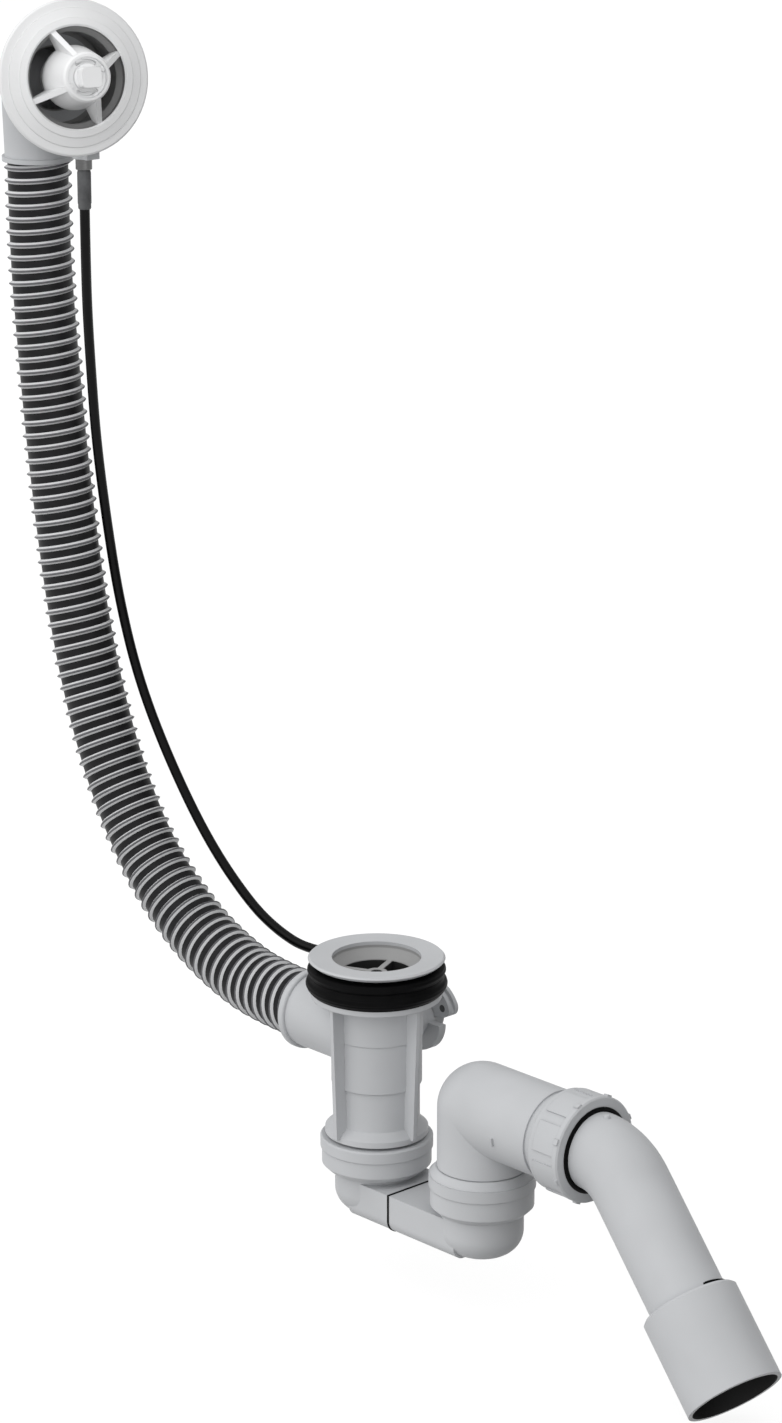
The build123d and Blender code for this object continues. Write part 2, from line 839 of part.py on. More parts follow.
# Cable sheath from boot to bracket socket
sheath_end_x = socket_front_x - socket_len * 0.4
sheath_turn_x = socket_front_x - socket_len * 2
cable_points = [(cable_head.X, cable_head.Y, boot_end_z)]
cable_points += [(cable_head.X, cable_head.Y, boot_end_z - boot_len)]
cable_points += list(cable_corners)
cable_points += [(sheath_turn_x, socket_y, socket_z), (sheath_end_x, socket_y, socket_z)]
cable_radii = corner_radii(cable_points)
print("cable bend radii", [round(radius) for radius in cable_radii])
with BuildPart() as cable_sheath:
    with BuildLine():
        cable_route = FilletPolyline(*cable_points, radius=cable_radii)
    with BuildSketch(Plane(origin=cable_route @ 0, z_dir=cable_route % 0)):
        Circle(sheath_r)
    sweep(path=cable_route)
tube_volume = pi * sheath_r**2 * cable_route.length
print("cable length", round(cable_route.length, 1), "volume ratio", cable_sheath.part.volume / tube_volume)
save(cable_sheath, "cable_sheath")

# Rubber ring round the hose in the mouth of the stub
with BuildPart() as hose_seal:
    with BuildSketch(Plane.YZ.offset(stub_mouth_x)):
        with Locations((0, stub_z)):
            Circle(hose_rib_r + hose_seal_t)
            Circle(hose_rib_r, mode=Mode.SUBTRACT)
    extrude(amount=hose_seal_len)
save(hose_seal, "hose_seal")

# Duct section between the two cups, drawn across +X: flat top, rounded lower edges
duct_floor_z = cup_floor_z + wall
duct_inner_top_z = duct_top_z - wall
with BuildSketch(Plane.YZ) as duct_outer:
    with Locations((0, (duct_top_z + cup_floor_z) / 2)):
        Rectangle(duct_w, duct_top_z - cup_floor_z)
    fillet(duct_outer.vertices().sort_by(Axis.Y)[:2], duct_round)
with BuildSketch(Plane.YZ) as duct_inner:
    with Locations((0, (duct_inner_top_z + duct_floor_z) / 2)):
        Rectangle(duct_w - 2 * wall, duct_inner_top_z - duct_floor_z)
    fillet(duct_inner.vertices().sort_by(Axis.Y)[:2], duct_round - wall)

# Trap inlet cup: stepped socket for the waste spigot, round bowl, half of the duct
inlet_bore_r = spigot_r + free_gap
inlet_seal_top = inlet_cup_top_z - cup_seal_h
with BuildPart() as trap_inlet_cup:
    with BuildSketch(Plane.XZ):
        with BuildLine():
            Polyline(
                (inlet_bowl_r - bowl_round, cup_floor_z),
                (0, cup_floor_z),
                (0, inlet_cup_top_z),
                (inlet_cup_r - band_step, inlet_cup_top_z),
                (inlet_cup_r, inlet_cup_top_z - band_step),
                (inlet_cup_r, inlet_cup_top_z - inlet_cup_band),
                (inlet_cup_r - band_step, inlet_cup_top_z - inlet_cup_band),
                (inlet_cup_r - band_step, cup_base_z + cup_chamfer),
                (inlet_cup_r - band_step - cup_chamfer, cup_base_z),
                (inlet_bowl_r, cup_base_z),
                (inlet_bowl_r, cup_floor_z + bowl_round),
            )
            RadiusArc((inlet_bowl_r, cup_floor_z + bowl_round), (inlet_bowl_r - bowl_round, cup_floor_z), bowl_round)
        make_face()
    revolve(axis=Axis.Z)
    extrude(duct_outer.sketch, amount=seam_x)
    with BuildSketch(Plane.XZ):
        with BuildLine():
            bowl_bore_r = inlet_bowl_r - wall
            bowl_inner_round = bowl_round - wall
            Polyline(
                (bowl_bore_r - bowl_inner_round, duct_floor_z),
                (0, duct_floor_z),
                (0, inlet_cup_top_z),
                (inlet_bore_r, inlet_cup_top_z),
                (inlet_bore_r, inlet_seal_top),
                (inlet_bore_r + cup_seal_depth, inlet_seal_top),
                (inlet_bore_r + cup_seal_depth, inlet_seal_top - cup_seal_h),
                (inlet_bore_r, inlet_seal_top - cup_seal_h),
                (inlet_bore_r, spigot_end_z - free_gap),
                (bowl_bore_r, spigot_end_z - wall),
                (bowl_bore_r, duct_floor_z + bowl_inner_round),
            )
            RadiusArc(
                (bowl_bore_r, duct_floor_z + bowl_inner_round),
                (bowl_bore_r - bowl_inner_round, duct_floor_z),
                bowl_inner_round,
            )
        make_face()
    revolve(axis=Axis.Z, mode=Mode.SUBTRACT)
    extrude(duct_inner.sketch, amount=seam_x, mode=Mode.SUBTRACT)
save(trap_inlet_cup, "trap_inlet_cup")

# Trap outlet cup: coned socket for the riser, round bowl, other half of the duct
riser_spigot_r = riser_r - thread_step
outlet_bore_r = riser_spigot_r + free_gap
outlet_seal_top = outlet_cup_top_z - cup_seal_h
outlet_cup_section = Plane(origin=(cup_spacing, 0, 0), x_dir=(1, 0, 0), z_dir=(0, -1, 0))
outlet_cup_axis = Axis((cup_spacing, 0, 0), (0, 0, 1))
outlet_half_x = seam_x + seam_t
with BuildPart() as trap_outlet_cup:
    with BuildSketch(outlet_cup_section):
        with BuildLine():
            cone_end_z = outlet_cup_top_z - outlet_cup_cone
            Polyline(
                (outlet_bowl_r - bowl_round, cup_floor_z),
                (0, cup_floor_z),
                (0, outlet_cup_top_z),
                (riser_r + band_step, outlet_cup_top_z),
                (outlet_cup_r - band_step, cone_end_z),
                (outlet_cup_r, cone_end_z),
                (outlet_cup_r, cone_end_z - outlet_cup_band),
                (outlet_cup_r - band_step, cone_end_z - outlet_cup_band),
                (outlet_cup_r - band_step, cup_base_z + cup_chamfer),
                (outlet_cup_r - band_step - cup_chamfer, cup_base_z),
                (outlet_bowl_r, cup_base_z),
                (outlet_bowl_r, cup_floor_z + bowl_round),
            )
            RadiusArc((outlet_bowl_r, cup_floor_z + bowl_round), (outlet_bowl_r - bowl_round, cup_floor_z), bowl_round)
        make_face()
    revolve(axis=outlet_cup_axis)
    with BuildSketch(Plane.YZ.offset(outlet_half_x)):
        add(duct_outer.sketch_local)
    extrude(amount=cup_spacing - outlet_half_x)
    with BuildSketch(outlet_cup_section):
        with BuildLine():
            bowl_bore_r = outlet_bowl_r - wall
            Polyline(
                (bowl_bore_r - bowl_inner_round, duct_floor_z),
                (0, duct_floor_z),
                (0, outlet_cup_top_z),
                (outlet_bore_r, outlet_cup_top_z),
                (outlet_bore_r, outlet_seal_top),
                (outlet_bore_r + cup_seal_depth, outlet_seal_top),
                (outlet_bore_r + cup_seal_depth, outlet_seal_top - cup_seal_h),
                (outlet_bore_r, outlet_seal_top - cup_seal_h),
                (outlet_bore_r, riser_end_z - free_gap),
                (bowl_bore_r, riser_end_z - 2 * wall),
                (bowl_bore_r, duct_floor_z + bowl_inner_round),
            )
            RadiusArc(
                (bowl_bore_r, duct_floor_z + bowl_inner_round),
                (bowl_bore_r - bowl_inner_round, duct_floor_z),
                bowl_inner_round,
            )
        make_face()
    revolve(axis=outlet_cup_axis, mode=Mode.SUBTRACT)
    with BuildSketch(Plane.YZ.offset(outlet_half_x)):
        add(duct_inner.sketch_local)
    extrude(amount=cup_spacing - outlet_half_x, mode=Mode.SUBTRACT)
save(trap_outlet_cup, "trap_outlet_cup")

# Thin seal in the seam between the two halves of the duct, set back from the outer face
with BuildPart() as trap_seam_seal:
    with BuildSketch(Plane.YZ.offset(seam_x)) as seam_ring:
        add(duct_outer.sketch_local)
        offset(amount=-seam_seal_inset, kind=Kind.INTERSECTION, mode=Mode.REPLACE)
        add(duct_inner.sketch_local, mode=Mode.SUBTRACT)
    extrude(amount=seam_t)
save(trap_seam_seal, "trap_seam_seal")

# Lip seals in the two cups
with BuildPart() as inlet_cup_seal:
    with BuildSketch(Plane.XY.offset(inlet_seal_top)):
        Circle(inlet_bore_r + cup_seal_depth)
        Circle(spigot_r + running, mode=Mode.SUBTRACT)
    extrude(amount=-cup_seal_h)
save(inlet_cup_seal, "inlet_cup_seal")

with BuildPart() as outlet_cup_seal:
    with BuildSketch(Plane.XY.offset(outlet_seal_top)):
        with Locations((cup_spacing, 0)):
            Circle(outlet_bore_r + cup_seal_depth)
            Circle(riser_spigot_r + running, mode=Mode.SUBTRACT)
    extrude(amount=-cup_seal_h)
save(outlet_cup_seal, "outlet_cup_seal")

# Riser elbow: pipe up from the outlet cup, ball corner, level leg with a threaded end
riser_bore_r = riser_r - riser_wall
riser_step_z = outlet_cup_top_z + free_gap
thread_x = leg_end_x - thread_len
with BuildPart() as riser_elbow:
    with BuildSketch(Plane.XY.offset(leg_z)):
        with Locations((cup_spacing, 0)):
            Circle(riser_r)
    extrude(amount=riser_step_z - leg_z)
    with BuildSketch(Plane.XY.offset(riser_step_z)):
        with Locations((cup_spacing, 0)):
            Circle(riser_spigot_r)
    extrude(amount=riser_end_z - riser_step_z)
    with BuildSketch(Plane.YZ.offset(cup_spacing)):
        with Locations((0, leg_z)):
            Circle(riser_r)
    extrude(amount=thread_x - cup_spacing)
    with BuildSketch(Plane.YZ.offset(thread_x)):
        with Locations((0, leg_z)):
            Circle(riser_spigot_r)
    extrude(amount=thread_len)
    with Locations(leg_origin):
        Sphere(riser_r)
        Sphere(riser_bore_r, mode=Mode.SUBTRACT)
    with BuildSketch(Plane.XY.offset(leg_z)):
        with Locations((cup_spacing, 0)):
            Circle(riser_bore_r)
    extrude(amount=riser_end_z - leg_z, mode=Mode.SUBTRACT)
    with BuildSketch(Plane.YZ.offset(cup_spacing)):
        with Locations((0, leg_z)):
            Circle(riser_bore_r)
    extrude(amount=leg_end_x - cup_spacing, mode=Mode.SUBTRACT)
save(riser_elbow, "riser_elbow")

# Union nut: barrel with raised grip pads, front rim with small lugs, open front
nut_rear = nut_rear_x - cup_spacing
nut_front = nut_front_x - cup_spacing
nut_wall_x = leg_end_x + union_seal_h
with BuildPart() as union_nut:
    with BuildSketch(leg_section):
        with BuildLine():
            Polyline(
                (riser_spigot_r + slip, nut_rear),
                (nut_r - nut_pad_h, nut_rear),
                (nut_r, nut_rear + nut_pad_h),
                (nut_r, nut_front - nut_rim_w),
                (nut_rim_r, nut_front - nut_rim_w),
                (nut_rim_r, nut_front - nut_pad_h),
                (nut_rim_r - nut_pad_h, nut_front),
                (outlet_r + nut_lip_gap, nut_front),
                (outlet_r + nut_lip_gap, nut_wall_x - cup_spacing),
                (riser_spigot_r + slip, nut_wall_x - cup_spacing),
                close=True,
            )
        make_face()
    revolve(axis=leg_axis)
    with BuildSketch(Plane.YZ.offset(nut_rear_x + nut_pad_inset)) as nut_pads:
        with Locations((0, leg_z)):
            Circle(nut_r + nut_pad_h)
            Circle(nut_r - nut_pad_h, mode=Mode.SUBTRACT)
        for index in range(nut_pad_count):
            gap_turn = 360 / nut_pad_count
            with Locations(Location((0, leg_z), gap_turn * index)):
                with Locations((nut_r, 0)):
                    Rectangle(4 * nut_pad_h, 2 * nut_r * sin(radians((gap_turn - nut_pad_arc) / 2)), mode=Mode.SUBTRACT)
    extrude(amount=nut_front_x - nut_rim_w - nut_rear_x - nut_pad_inset)
    with BuildSketch(Plane.YZ.offset(nut_front_x - nut_rim_w)):
        with Locations((0, leg_z)):
            with PolarLocations(nut_rim_r, nut_pad_count, start_angle=180 / nut_pad_count):
                Rectangle(2 * nut_pad_h, nut_lug_w)
    extrude(amount=nut_rim_w - nut_pad_h)
save(union_nut, "union_nut")

# Rubber ring squeezed between the leg's end and the nut, round the outlet pipe
with BuildPart() as union_seal:
    with BuildSketch(Plane.YZ.offset(leg_end_x)):
        with Locations((0, leg_z)):
            Circle(riser_spigot_r)
            Circle(outlet_r + running, mode=Mode.SUBTRACT)
    extrude(amount=union_seal_h)
save(union_seal, "union_seal")

# Outlet bend: straight tail in the leg, 45 degree bend, straight pipe into the sleeve
pipe_end = sleeve_start + outlet_sleeve_grip
outlet_points = [
    (outlet_start_x, 0, leg_z),
    tuple(outlet_vertex),
    tuple(outlet_vertex + outlet_dir * pipe_end),
]
with BuildPart() as outlet_bend:
    with BuildLine():
        outlet_route = FilletPolyline(*outlet_points, radius=outlet_bend_r)
    with BuildSketch(Plane.YZ.offset(outlet_start_x)):
        with Locations((0, leg_z)):
            Circle(outlet_r)
            Circle(outlet_r - outlet_wall, mode=Mode.SUBTRACT)
    sweep(path=outlet_route)
save(outlet_bend, "outlet_bend")

# Outlet sleeve: seated on the pipe, with a wide open end for the drain pipe
with BuildPart() as outlet_sleeve:
    with BuildSketch(outlet_section):
        with BuildLine():
            seal_from = sleeve_start + outlet_sleeve_grip / 3
            open_r = outlet_sleeve_r - outlet_sleeve_wall
            Polyline(
                (outlet_r, sleeve_start),
                (outlet_sleeve_r - outlet_sleeve_chamfer, sleeve_start),
                (outlet_sleeve_r, sleeve_start + outlet_sleeve_chamfer),
                (outlet_sleeve_r, sleeve_end),
                (open_r, sleeve_end),
                (open_r, pipe_end + outlet_sleeve_wall),
                (outlet_r - outlet_wall, pipe_end + outlet_sleeve_wall),
                (outlet_r - outlet_wall, pipe_end),
                (outlet_r, pipe_end),
                (outlet_r, seal_from + sleeve_seal_h),
                (outlet_r + sleeve_seal_depth, seal_from + sleeve_seal_h),
                (outlet_r + sleeve_seal_depth, seal_from),
                (outlet_r, seal_from),
                close=True,
            )
        make_face()
    revolve(axis=outlet_axis)
save(outlet_sleeve, "outlet_sleeve")

with BuildPart() as sleeve_seal:
    with BuildSketch(outlet_section):
        with BuildLine():
            Polyline(
                (outlet_r, seal_from),
                (outlet_r + sleeve_seal_depth, seal_from),
                (outlet_r + sleeve_seal_depth, seal_from + sleeve_seal_h),
                (outlet_r, seal_from + sleeve_seal_h),
                close=True,
            )
        make_face()
    revolve(axis=outlet_axis)
save(sleeve_seal, "sleeve_seal")
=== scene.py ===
import math
from collections import namedtuple

import bmesh
import bpy
from bpy.props import FloatProperty, FloatVectorProperty, IntProperty, PointerProperty
from mathutils import Matrix, Vector


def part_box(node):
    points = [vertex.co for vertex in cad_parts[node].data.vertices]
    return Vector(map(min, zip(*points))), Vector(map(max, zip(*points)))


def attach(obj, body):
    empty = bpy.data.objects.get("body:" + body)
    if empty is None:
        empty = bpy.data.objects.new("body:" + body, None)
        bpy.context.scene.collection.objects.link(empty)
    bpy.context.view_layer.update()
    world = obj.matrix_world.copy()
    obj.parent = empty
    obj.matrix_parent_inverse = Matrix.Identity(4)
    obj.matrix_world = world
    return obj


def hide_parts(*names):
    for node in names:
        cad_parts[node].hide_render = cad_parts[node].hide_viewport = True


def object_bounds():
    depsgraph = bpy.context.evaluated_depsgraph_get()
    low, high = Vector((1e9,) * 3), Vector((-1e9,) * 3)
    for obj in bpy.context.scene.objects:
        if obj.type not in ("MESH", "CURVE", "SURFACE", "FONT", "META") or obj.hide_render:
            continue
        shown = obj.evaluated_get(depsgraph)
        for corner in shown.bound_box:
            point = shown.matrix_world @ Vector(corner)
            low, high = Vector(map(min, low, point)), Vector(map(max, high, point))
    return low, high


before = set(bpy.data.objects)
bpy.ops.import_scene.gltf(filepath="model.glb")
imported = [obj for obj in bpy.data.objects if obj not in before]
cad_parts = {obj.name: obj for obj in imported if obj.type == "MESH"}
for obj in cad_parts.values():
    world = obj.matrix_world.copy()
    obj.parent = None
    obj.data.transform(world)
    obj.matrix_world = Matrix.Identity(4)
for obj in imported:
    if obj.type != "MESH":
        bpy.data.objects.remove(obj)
cad_low, cad_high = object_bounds()

bl_info = {
    "name": "Bath waste and overflow",
    "version": (1, 0, 0),
    "blender": (4, 5, 0),
    "location": "View3D > Sidebar > Bath waste",
    "description": "Finishes, hose, control cable and studio for the bath waste and overflow",
    "category": "Object",
}

# Route of the overflow hose, from inside the waste body's stub up to the elbow's collar
HOSE_ROUTE = (
    (-0.028, 0.0, -0.0403),
    (-0.082, 0.0, -0.0403),
    (-0.117, 0.0, -0.032),
    (-0.15, 0.0, -0.016),
    (-0.184, 0.0, 0.013),
    (-0.209, 0.0, 0.0508),
    (-0.227, 0.0, 0.093),
    (-0.2405, 0.0, 0.1405),
    (-0.2496, 0.0, 0.19),
    (-0.2566, 0.0, 0.239),
    (-0.262, 0.0, 0.288),
    (-0.2665, 0.0, 0.338),
    (-0.2665, 0.0, 0.385),
)

# Route of the control cable, from under its boot down to the socket beside the drain
CABLE_ROUTE = (
    (-0.21812, -0.0075, 0.3655),
    (-0.21812, -0.0075, 0.3445),
    (-0.226, -0.0008, 0.3097),
    (-0.2315, 0.0058, 0.2695),
    (-0.235, 0.0112, 0.233),
    (-0.2335, 0.016, 0.189),
    (-0.225, 0.017, 0.1455),
    (-0.2105, 0.018, 0.1025),
    (-0.1875, 0.02, 0.061),
    (-0.1595, 0.023, 0.0213),
    (-0.131, 0.027, -0.0072),
    (-0.112, 0.031, -0.02),
    (-0.093, 0.0365, -0.0275),
    (-0.0595, 0.0488, -0.0255),
    (-0.0339, 0.0488, -0.0255),
)

PALE_NODES = (
    "drain_flange",
    "waste_body",
    "cable_bracket",
    "cable_quadrant",
    "lifter_shaft",
    "lifter_pin",
    "overflow_elbow",
    "trap_inlet_cup",
    "trap_outlet_cup",
    "riser_elbow",
    "union_nut",
    "outlet_bend",
    "outlet_sleeve",
)
WHITE_NODES = ("overflow_faceplate", "overflow_hub", "drive_spindle", "wire_drum")
RUBBER_NODES = (
    "body_gasket",
    "shaft_seal",
    "overflow_gasket",
    "hose_seal",
    "inlet_cup_seal",
    "outlet_cup_seal",
    "trap_seam_seal",
    "sleeve_seal",
    "union_seal",
)
METAL_NODES = ("cable_ferrule", "wire_nipple_lower", "wire_nipple_upper")

# Axes of the drain, the overflow head, the riser's leg and the outlet, each as a point and a heading
DRAIN_AXIS = ((0.0, 0.0, 0.0), (0.0, 0.0, 1.0))
HEAD_AXIS = ((-0.2665, 0.0, 0.4285), (0.930548, -0.338692, 0.139173))
LEG_AXIS = ((0.0794, 0.0, -0.0581), (1.0, 0.0, 0.0))
OUTLET_AXIS = ((0.1755, 0.0, -0.0581), (0.707107, -0.09841, -0.700225))

# Way from the object to the camera, in degrees round from +X
CAMERA_TURN = -43.0

# Camera fitted to the photograph: place and heading, focal length and sensor width in millimetres
CAMERA_PLACE = (1.5763, -1.4598, 0.7698)
CAMERA_HEADING = (-0.7013, 0.6540, -0.2836)
CAMERA_LENS = 111.3
CAMERA_SENSOR = 36

# Rim light: degrees right of the camera and above the floor
RIM_TURN = 140
RIM_RISE = 15

# How far the dome's edge fades, as the cosine of the angle to its middle
DOME_FADE = 0.25

# Degrees over which the lamps and the head panel spread
LAMP_SPREAD = 50

# Sockets of a colour mix node
MIX_FACTOR = 0
MIX_FIRST = 6
MIX_SECOND = 7
MIX_RESULT = 2

# Places closer than this count as the same, in metres
SAME_PLACE = 1e-6

# Distance over which one turn of the hose's rib is joined to the next, in metres
WELD = 1e-5

# Insides with painted shade: a dark grey painted into the plastic's colour where shade falls inside the
# mouldings. Columns: axis, radius, where along the axis each one starts and ends, and its grey
Hollow = namedtuple("Hollow", "axis radius start end shade")
PAINTED_SHADE_HOLLOWS = {
    "drain_flange": (
        Hollow(DRAIN_AXIS, 0.0234, -0.0064, 0.0004, 0.33),
        Hollow(DRAIN_AXIS, 0.0188, -0.02, -0.0064, 0.02),
    ),
    "waste_body": (Hollow(DRAIN_AXIS, 0.0195, -0.12, -0.0155, 0.02),),
    "overflow_faceplate": (Hollow(HEAD_AXIS, 0.0267, 0.04, 0.0676, 0.25),),
    "overflow_elbow": (
        Hollow(HEAD_AXIS, 0.026, 0.035, 0.07, 0.28),
        Hollow(HEAD_AXIS, 0.0172, 0.002, 0.04, 0.28),
    ),
    "union_nut": (Hollow(LEG_AXIS, 0.0222, 0.05, 0.085, 0.02),),
    "outlet_sleeve": (Hollow(OUTLET_AXIS, 0.02295, 0.084, 0.135, 0.012),),
    "outlet_bend": (Hollow(OUTLET_AXIS, 0.0181, 0.06, 0.11, 0.012),),
}


def colour_setting(label, about, value):
    """Setting for a colour."""
    return FloatVectorProperty(
        name=label, description=about, subtype="COLOR", min=0, max=1, default=value
    )


def length_setting(label, about, value, low=0.0):
    """Setting for a length in metres."""
    return FloatProperty(name=label, description=about, unit="LENGTH", min=low, default=value)


def strength_setting(label, about, value):
    """Setting for the strength of a light."""
    return FloatProperty(name=label, description=about, min=0, default=value)


class FinishSettings(bpy.types.PropertyGroup):
    pale_colour: colour_setting(
        "Pale plastic", "Colour of the waste, trap and outlet mouldings", (0.53, 0.54, 0.555)
    )
    white_colour: colour_setting(
        "White plastic", "Colour of the overflow plate and its spindle", (0.85, 0.855, 0.86)
    )
    rubber_colour: colour_setting(
        "Rubber", "Colour of the gaskets and sealing rings", (0.002, 0.002, 0.0022)
    )
    hose_core_colour: colour_setting(
        "Hose wall", "Colour of the hose between its ribs", (0.006, 0.006, 0.007)
    )
    hose_rib_colour: colour_setting(
        "Hose rib", "Colour of the winding rib of the hose", (0.74, 0.745, 0.755)
    )
    # The rib's crown gets a dark grey as painted shade, so that the pale flanks show as two painted
    # highlight lines; the rib's pale tone itself is its own colour
    hose_crown_shade_colour: colour_setting(
        "Hose rib crown", "Colour along the crown of the winding rib", (0.14, 0.14, 0.15)
    )
    boot_colour: colour_setting(
        "Cable boot", "Colour of the soft boot on the cable's upper end", (0.085, 0.087, 0.09)
    )
    metal_colour: colour_setting(
        "Plated metal", "Colour of the ferrule and the wire nipples", (0.14, 0.14, 0.14)
    )
    grain: length_setting("Grain", "Width of the moulded grain on the plastics", 0.0009, low=0.0001)
    edge_round: length_setting("Edge rounding", "Radius of the soft edges of the mouldings", 0.0006)


class HoseSettings(bpy.types.PropertyGroup):
    pitch: length_setting("Pitch", "Distance from one turn of the rib to the next", 0.0069)
    rib_width: length_setting("Rib width", "Width of the rib along the hose", 0.003)
    core_radius: length_setting("Wall radius", "Outer radius of the hose between its ribs", 0.0163)
    rib_radius: length_setting("Rib radius", "Outer radius of the rib", 0.0182)
    bore_radius: length_setting("Bore radius", "Inner radius of the hose", 0.0142)
    steps: IntProperty(
        name="Steps",
        description="Faces round one turn of the rib",
        min=12,
        default=36,
    )


class CableSettings(bpy.types.PropertyGroup):
    radius: length_setting("Radius", "Outer radius of the cable sheath", 0.0027)
    boot_radius: length_setting("Boot radius", "Radius of the soft boot", 0.0037)


class GasketSettings(bpy.types.PropertyGroup):
    top_radius: length_setting("Top radius", "Outer radius of the gasket's upper edge", 0.0352)
    foot_radius: length_setting("Foot radius", "Outer radius of the gasket's lower edge", 0.0342)
    bore_radius: length_setting("Bore radius", "Inner radius of the gasket", 0.0281)
    fullness: FloatProperty(
        name="Fullness",
        description="How square the bulge between the two edges is",
        min=1,
        default=2.4,
    )
    groove: length_setting("Groove", "Depth of the hollow between the gasket's two lips", 0.0026)
    ridges: IntProperty(
        name="Ridges",
        description="Fine ridges round the outside",
        min=1,
        default=7,
    )
    ridge_depth: length_setting("Ridge depth", "Depth of the lines between the ridges", 0.00035)


class StageSettings(bpy.types.PropertyGroup):
    floor_colour: colour_setting("Floor", "Colour of the studio floor", (0.15, 0.15, 0.15))
    floor_glow: strength_setting("Floor glow", "Light that the lit studio floor gives off", 0.9)
    dome_strength: strength_setting(
        "Dome", "Strength of the wide white dome at the camera's upper left", 0.97
    )
    shade_strength: strength_setting(
        "Far side", "Strength of the room's dark side, across from the dome", 0.05
    )
    key_strength: strength_setting("Key light", "Strength of the lamp in the middle of the dome", 0.5)
    rim_strength: strength_setting("Rim light", "Strength of the light from behind on the right", 0.3)
    panel_power: strength_setting(
        "Panel", "Power of the small panel in front of the overflow plate, in watts", 0.06
    )
    dome_turn: FloatProperty(
        name="Dome turn",
        description="Degrees from the camera round to the dome's middle, to the right",
        default=-58.0,
    )
    dome_rise: FloatProperty(
        name="Dome rise",
        description="Degrees of the dome's middle above the floor",
        default=46.0,
    )


def start_material(name):
    """New node material; gives it with its tree and its shader."""
    material = bpy.data.materials.new(name)
    material.use_nodes = True
    tree = material.node_tree
    return material, tree, tree.nodes["Principled BSDF"]


def object_noise(tree, width, detail, stretch=(1, 1, 1)):
    """Noise on object coordinates with blobs about this wide, in metres."""
    place = tree.nodes.new("ShaderNodeTexCoord")
    mapping = tree.nodes.new("ShaderNodeMapping")
    mapping.inputs["Scale"].default_value = stretch
    noise = tree.nodes.new("ShaderNodeTexNoise")
    noise.inputs["Scale"].default_value = 1 / width
    noise.inputs["Detail"].default_value = detail
    tree.links.new(place.outputs["Object"], mapping.inputs["Vector"])
    tree.links.new(mapping.outputs["Vector"], noise.inputs["Vector"])
    return noise.outputs["Fac"]


def shade_between(tree, factor, dark, light):
    """Colour that runs between two tones of the same finish with this factor."""
    ramp = tree.nodes.new("ShaderNodeValToRGB")
    ramp.color_ramp.elements[0].position = 0.3
    ramp.color_ramp.elements[0].color = (*dark, 1)
    ramp.color_ramp.elements[1].position = 0.7
    ramp.color_ramp.elements[1].color = (*light, 1)
    tree.links.new(factor, ramp.inputs["Fac"])
    return ramp.outputs["Color"]


def number_between(tree, factor, low, high, start=0.0, end=1.0):
    """Number that runs from low to high while this factor runs from start to end."""
    span = tree.nodes.new("ShaderNodeMapRange")
    span.inputs["From Min"].default_value = start
    span.inputs["From Max"].default_value = end
    span.inputs["To Min"].default_value = low
    span.inputs["To Max"].default_value = high
    tree.links.new(factor, span.inputs["Value"])
    return span.outputs["Result"]


def relief(tree, height, strength, depth, edge_round=0.0):
    """Normal with this height as relief, over softly rounded edges where a radius is given."""
    bump = tree.nodes.new("ShaderNodeBump")
    bump.inputs["Strength"].default_value = strength
    bump.inputs["Distance"].default_value = depth
    tree.links.new(height, bump.inputs["Height"])
    if edge_round:
        edge = tree.nodes.new("ShaderNodeBevel")
        edge.samples = 4
        edge.inputs["Radius"].default_value = edge_round
        tree.links.new(edge.outputs["Normal"], bump.inputs["Normal"])
    return bump.outputs["Normal"]


def tint(colour, share):
    return tuple(min(1.0, part * share) for part in colour)


def work_out(tree, kind, operation, first, second):
    """Maths node of a kind on a socket and a second socket or value."""
    node = tree.nodes.new(kind)
    node.operation = operation
    tree.links.new(first, node.inputs[0])
    if isinstance(second, bpy.types.NodeSocket):
        tree.links.new(second, node.inputs[1])
    else:
        node.inputs[1].default_value = second
    return node.outputs


def inside(tree, hollow):
    """Mask for the painted shade: one within a round hollow along an axis, nought outside it."""
    origin, heading = hollow.axis
    place = tree.nodes.new("ShaderNodeTexCoord").outputs["Object"]
    offset = work_out(tree, "ShaderNodeVectorMath", "SUBTRACT", place, origin)["Vector"]
    along = work_out(tree, "ShaderNodeVectorMath", "DOT_PRODUCT", offset, heading)["Value"]
    across = work_out(tree, "ShaderNodeVectorMath", "CROSS_PRODUCT", offset, heading)["Vector"]
    reach = work_out(tree, "ShaderNodeVectorMath", "DOT_PRODUCT", across, across)["Value"]
    within = work_out(tree, "ShaderNodeMath", "LESS_THAN", reach, hollow.radius**2)["Value"]
    after = work_out(tree, "ShaderNodeMath", "GREATER_THAN", along, hollow.start)["Value"]
    before = work_out(tree, "ShaderNodeMath", "LESS_THAN", along, hollow.end)["Value"]
    part = work_out(tree, "ShaderNodeMath", "MULTIPLY", within, after)["Value"]
    return work_out(tree, "ShaderNodeMath", "MULTIPLY", part, before)["Value"]


def paint_hollow_shade(tree, tone, hollow):
    """Tone with painted shade: it turns to the hollow's dark grey within it."""
    blend = tree.nodes.new("ShaderNodeMix")
    blend.data_type = "RGBA"
    tree.links.new(inside(tree, hollow), blend.inputs[MIX_FACTOR])
    tree.links.new(tone, blend.inputs[MIX_FIRST])
    blend.inputs[MIX_SECOND].default_value = (hollow.shade, hollow.shade, hollow.shade, 1)
    return blend.outputs[MIX_RESULT]


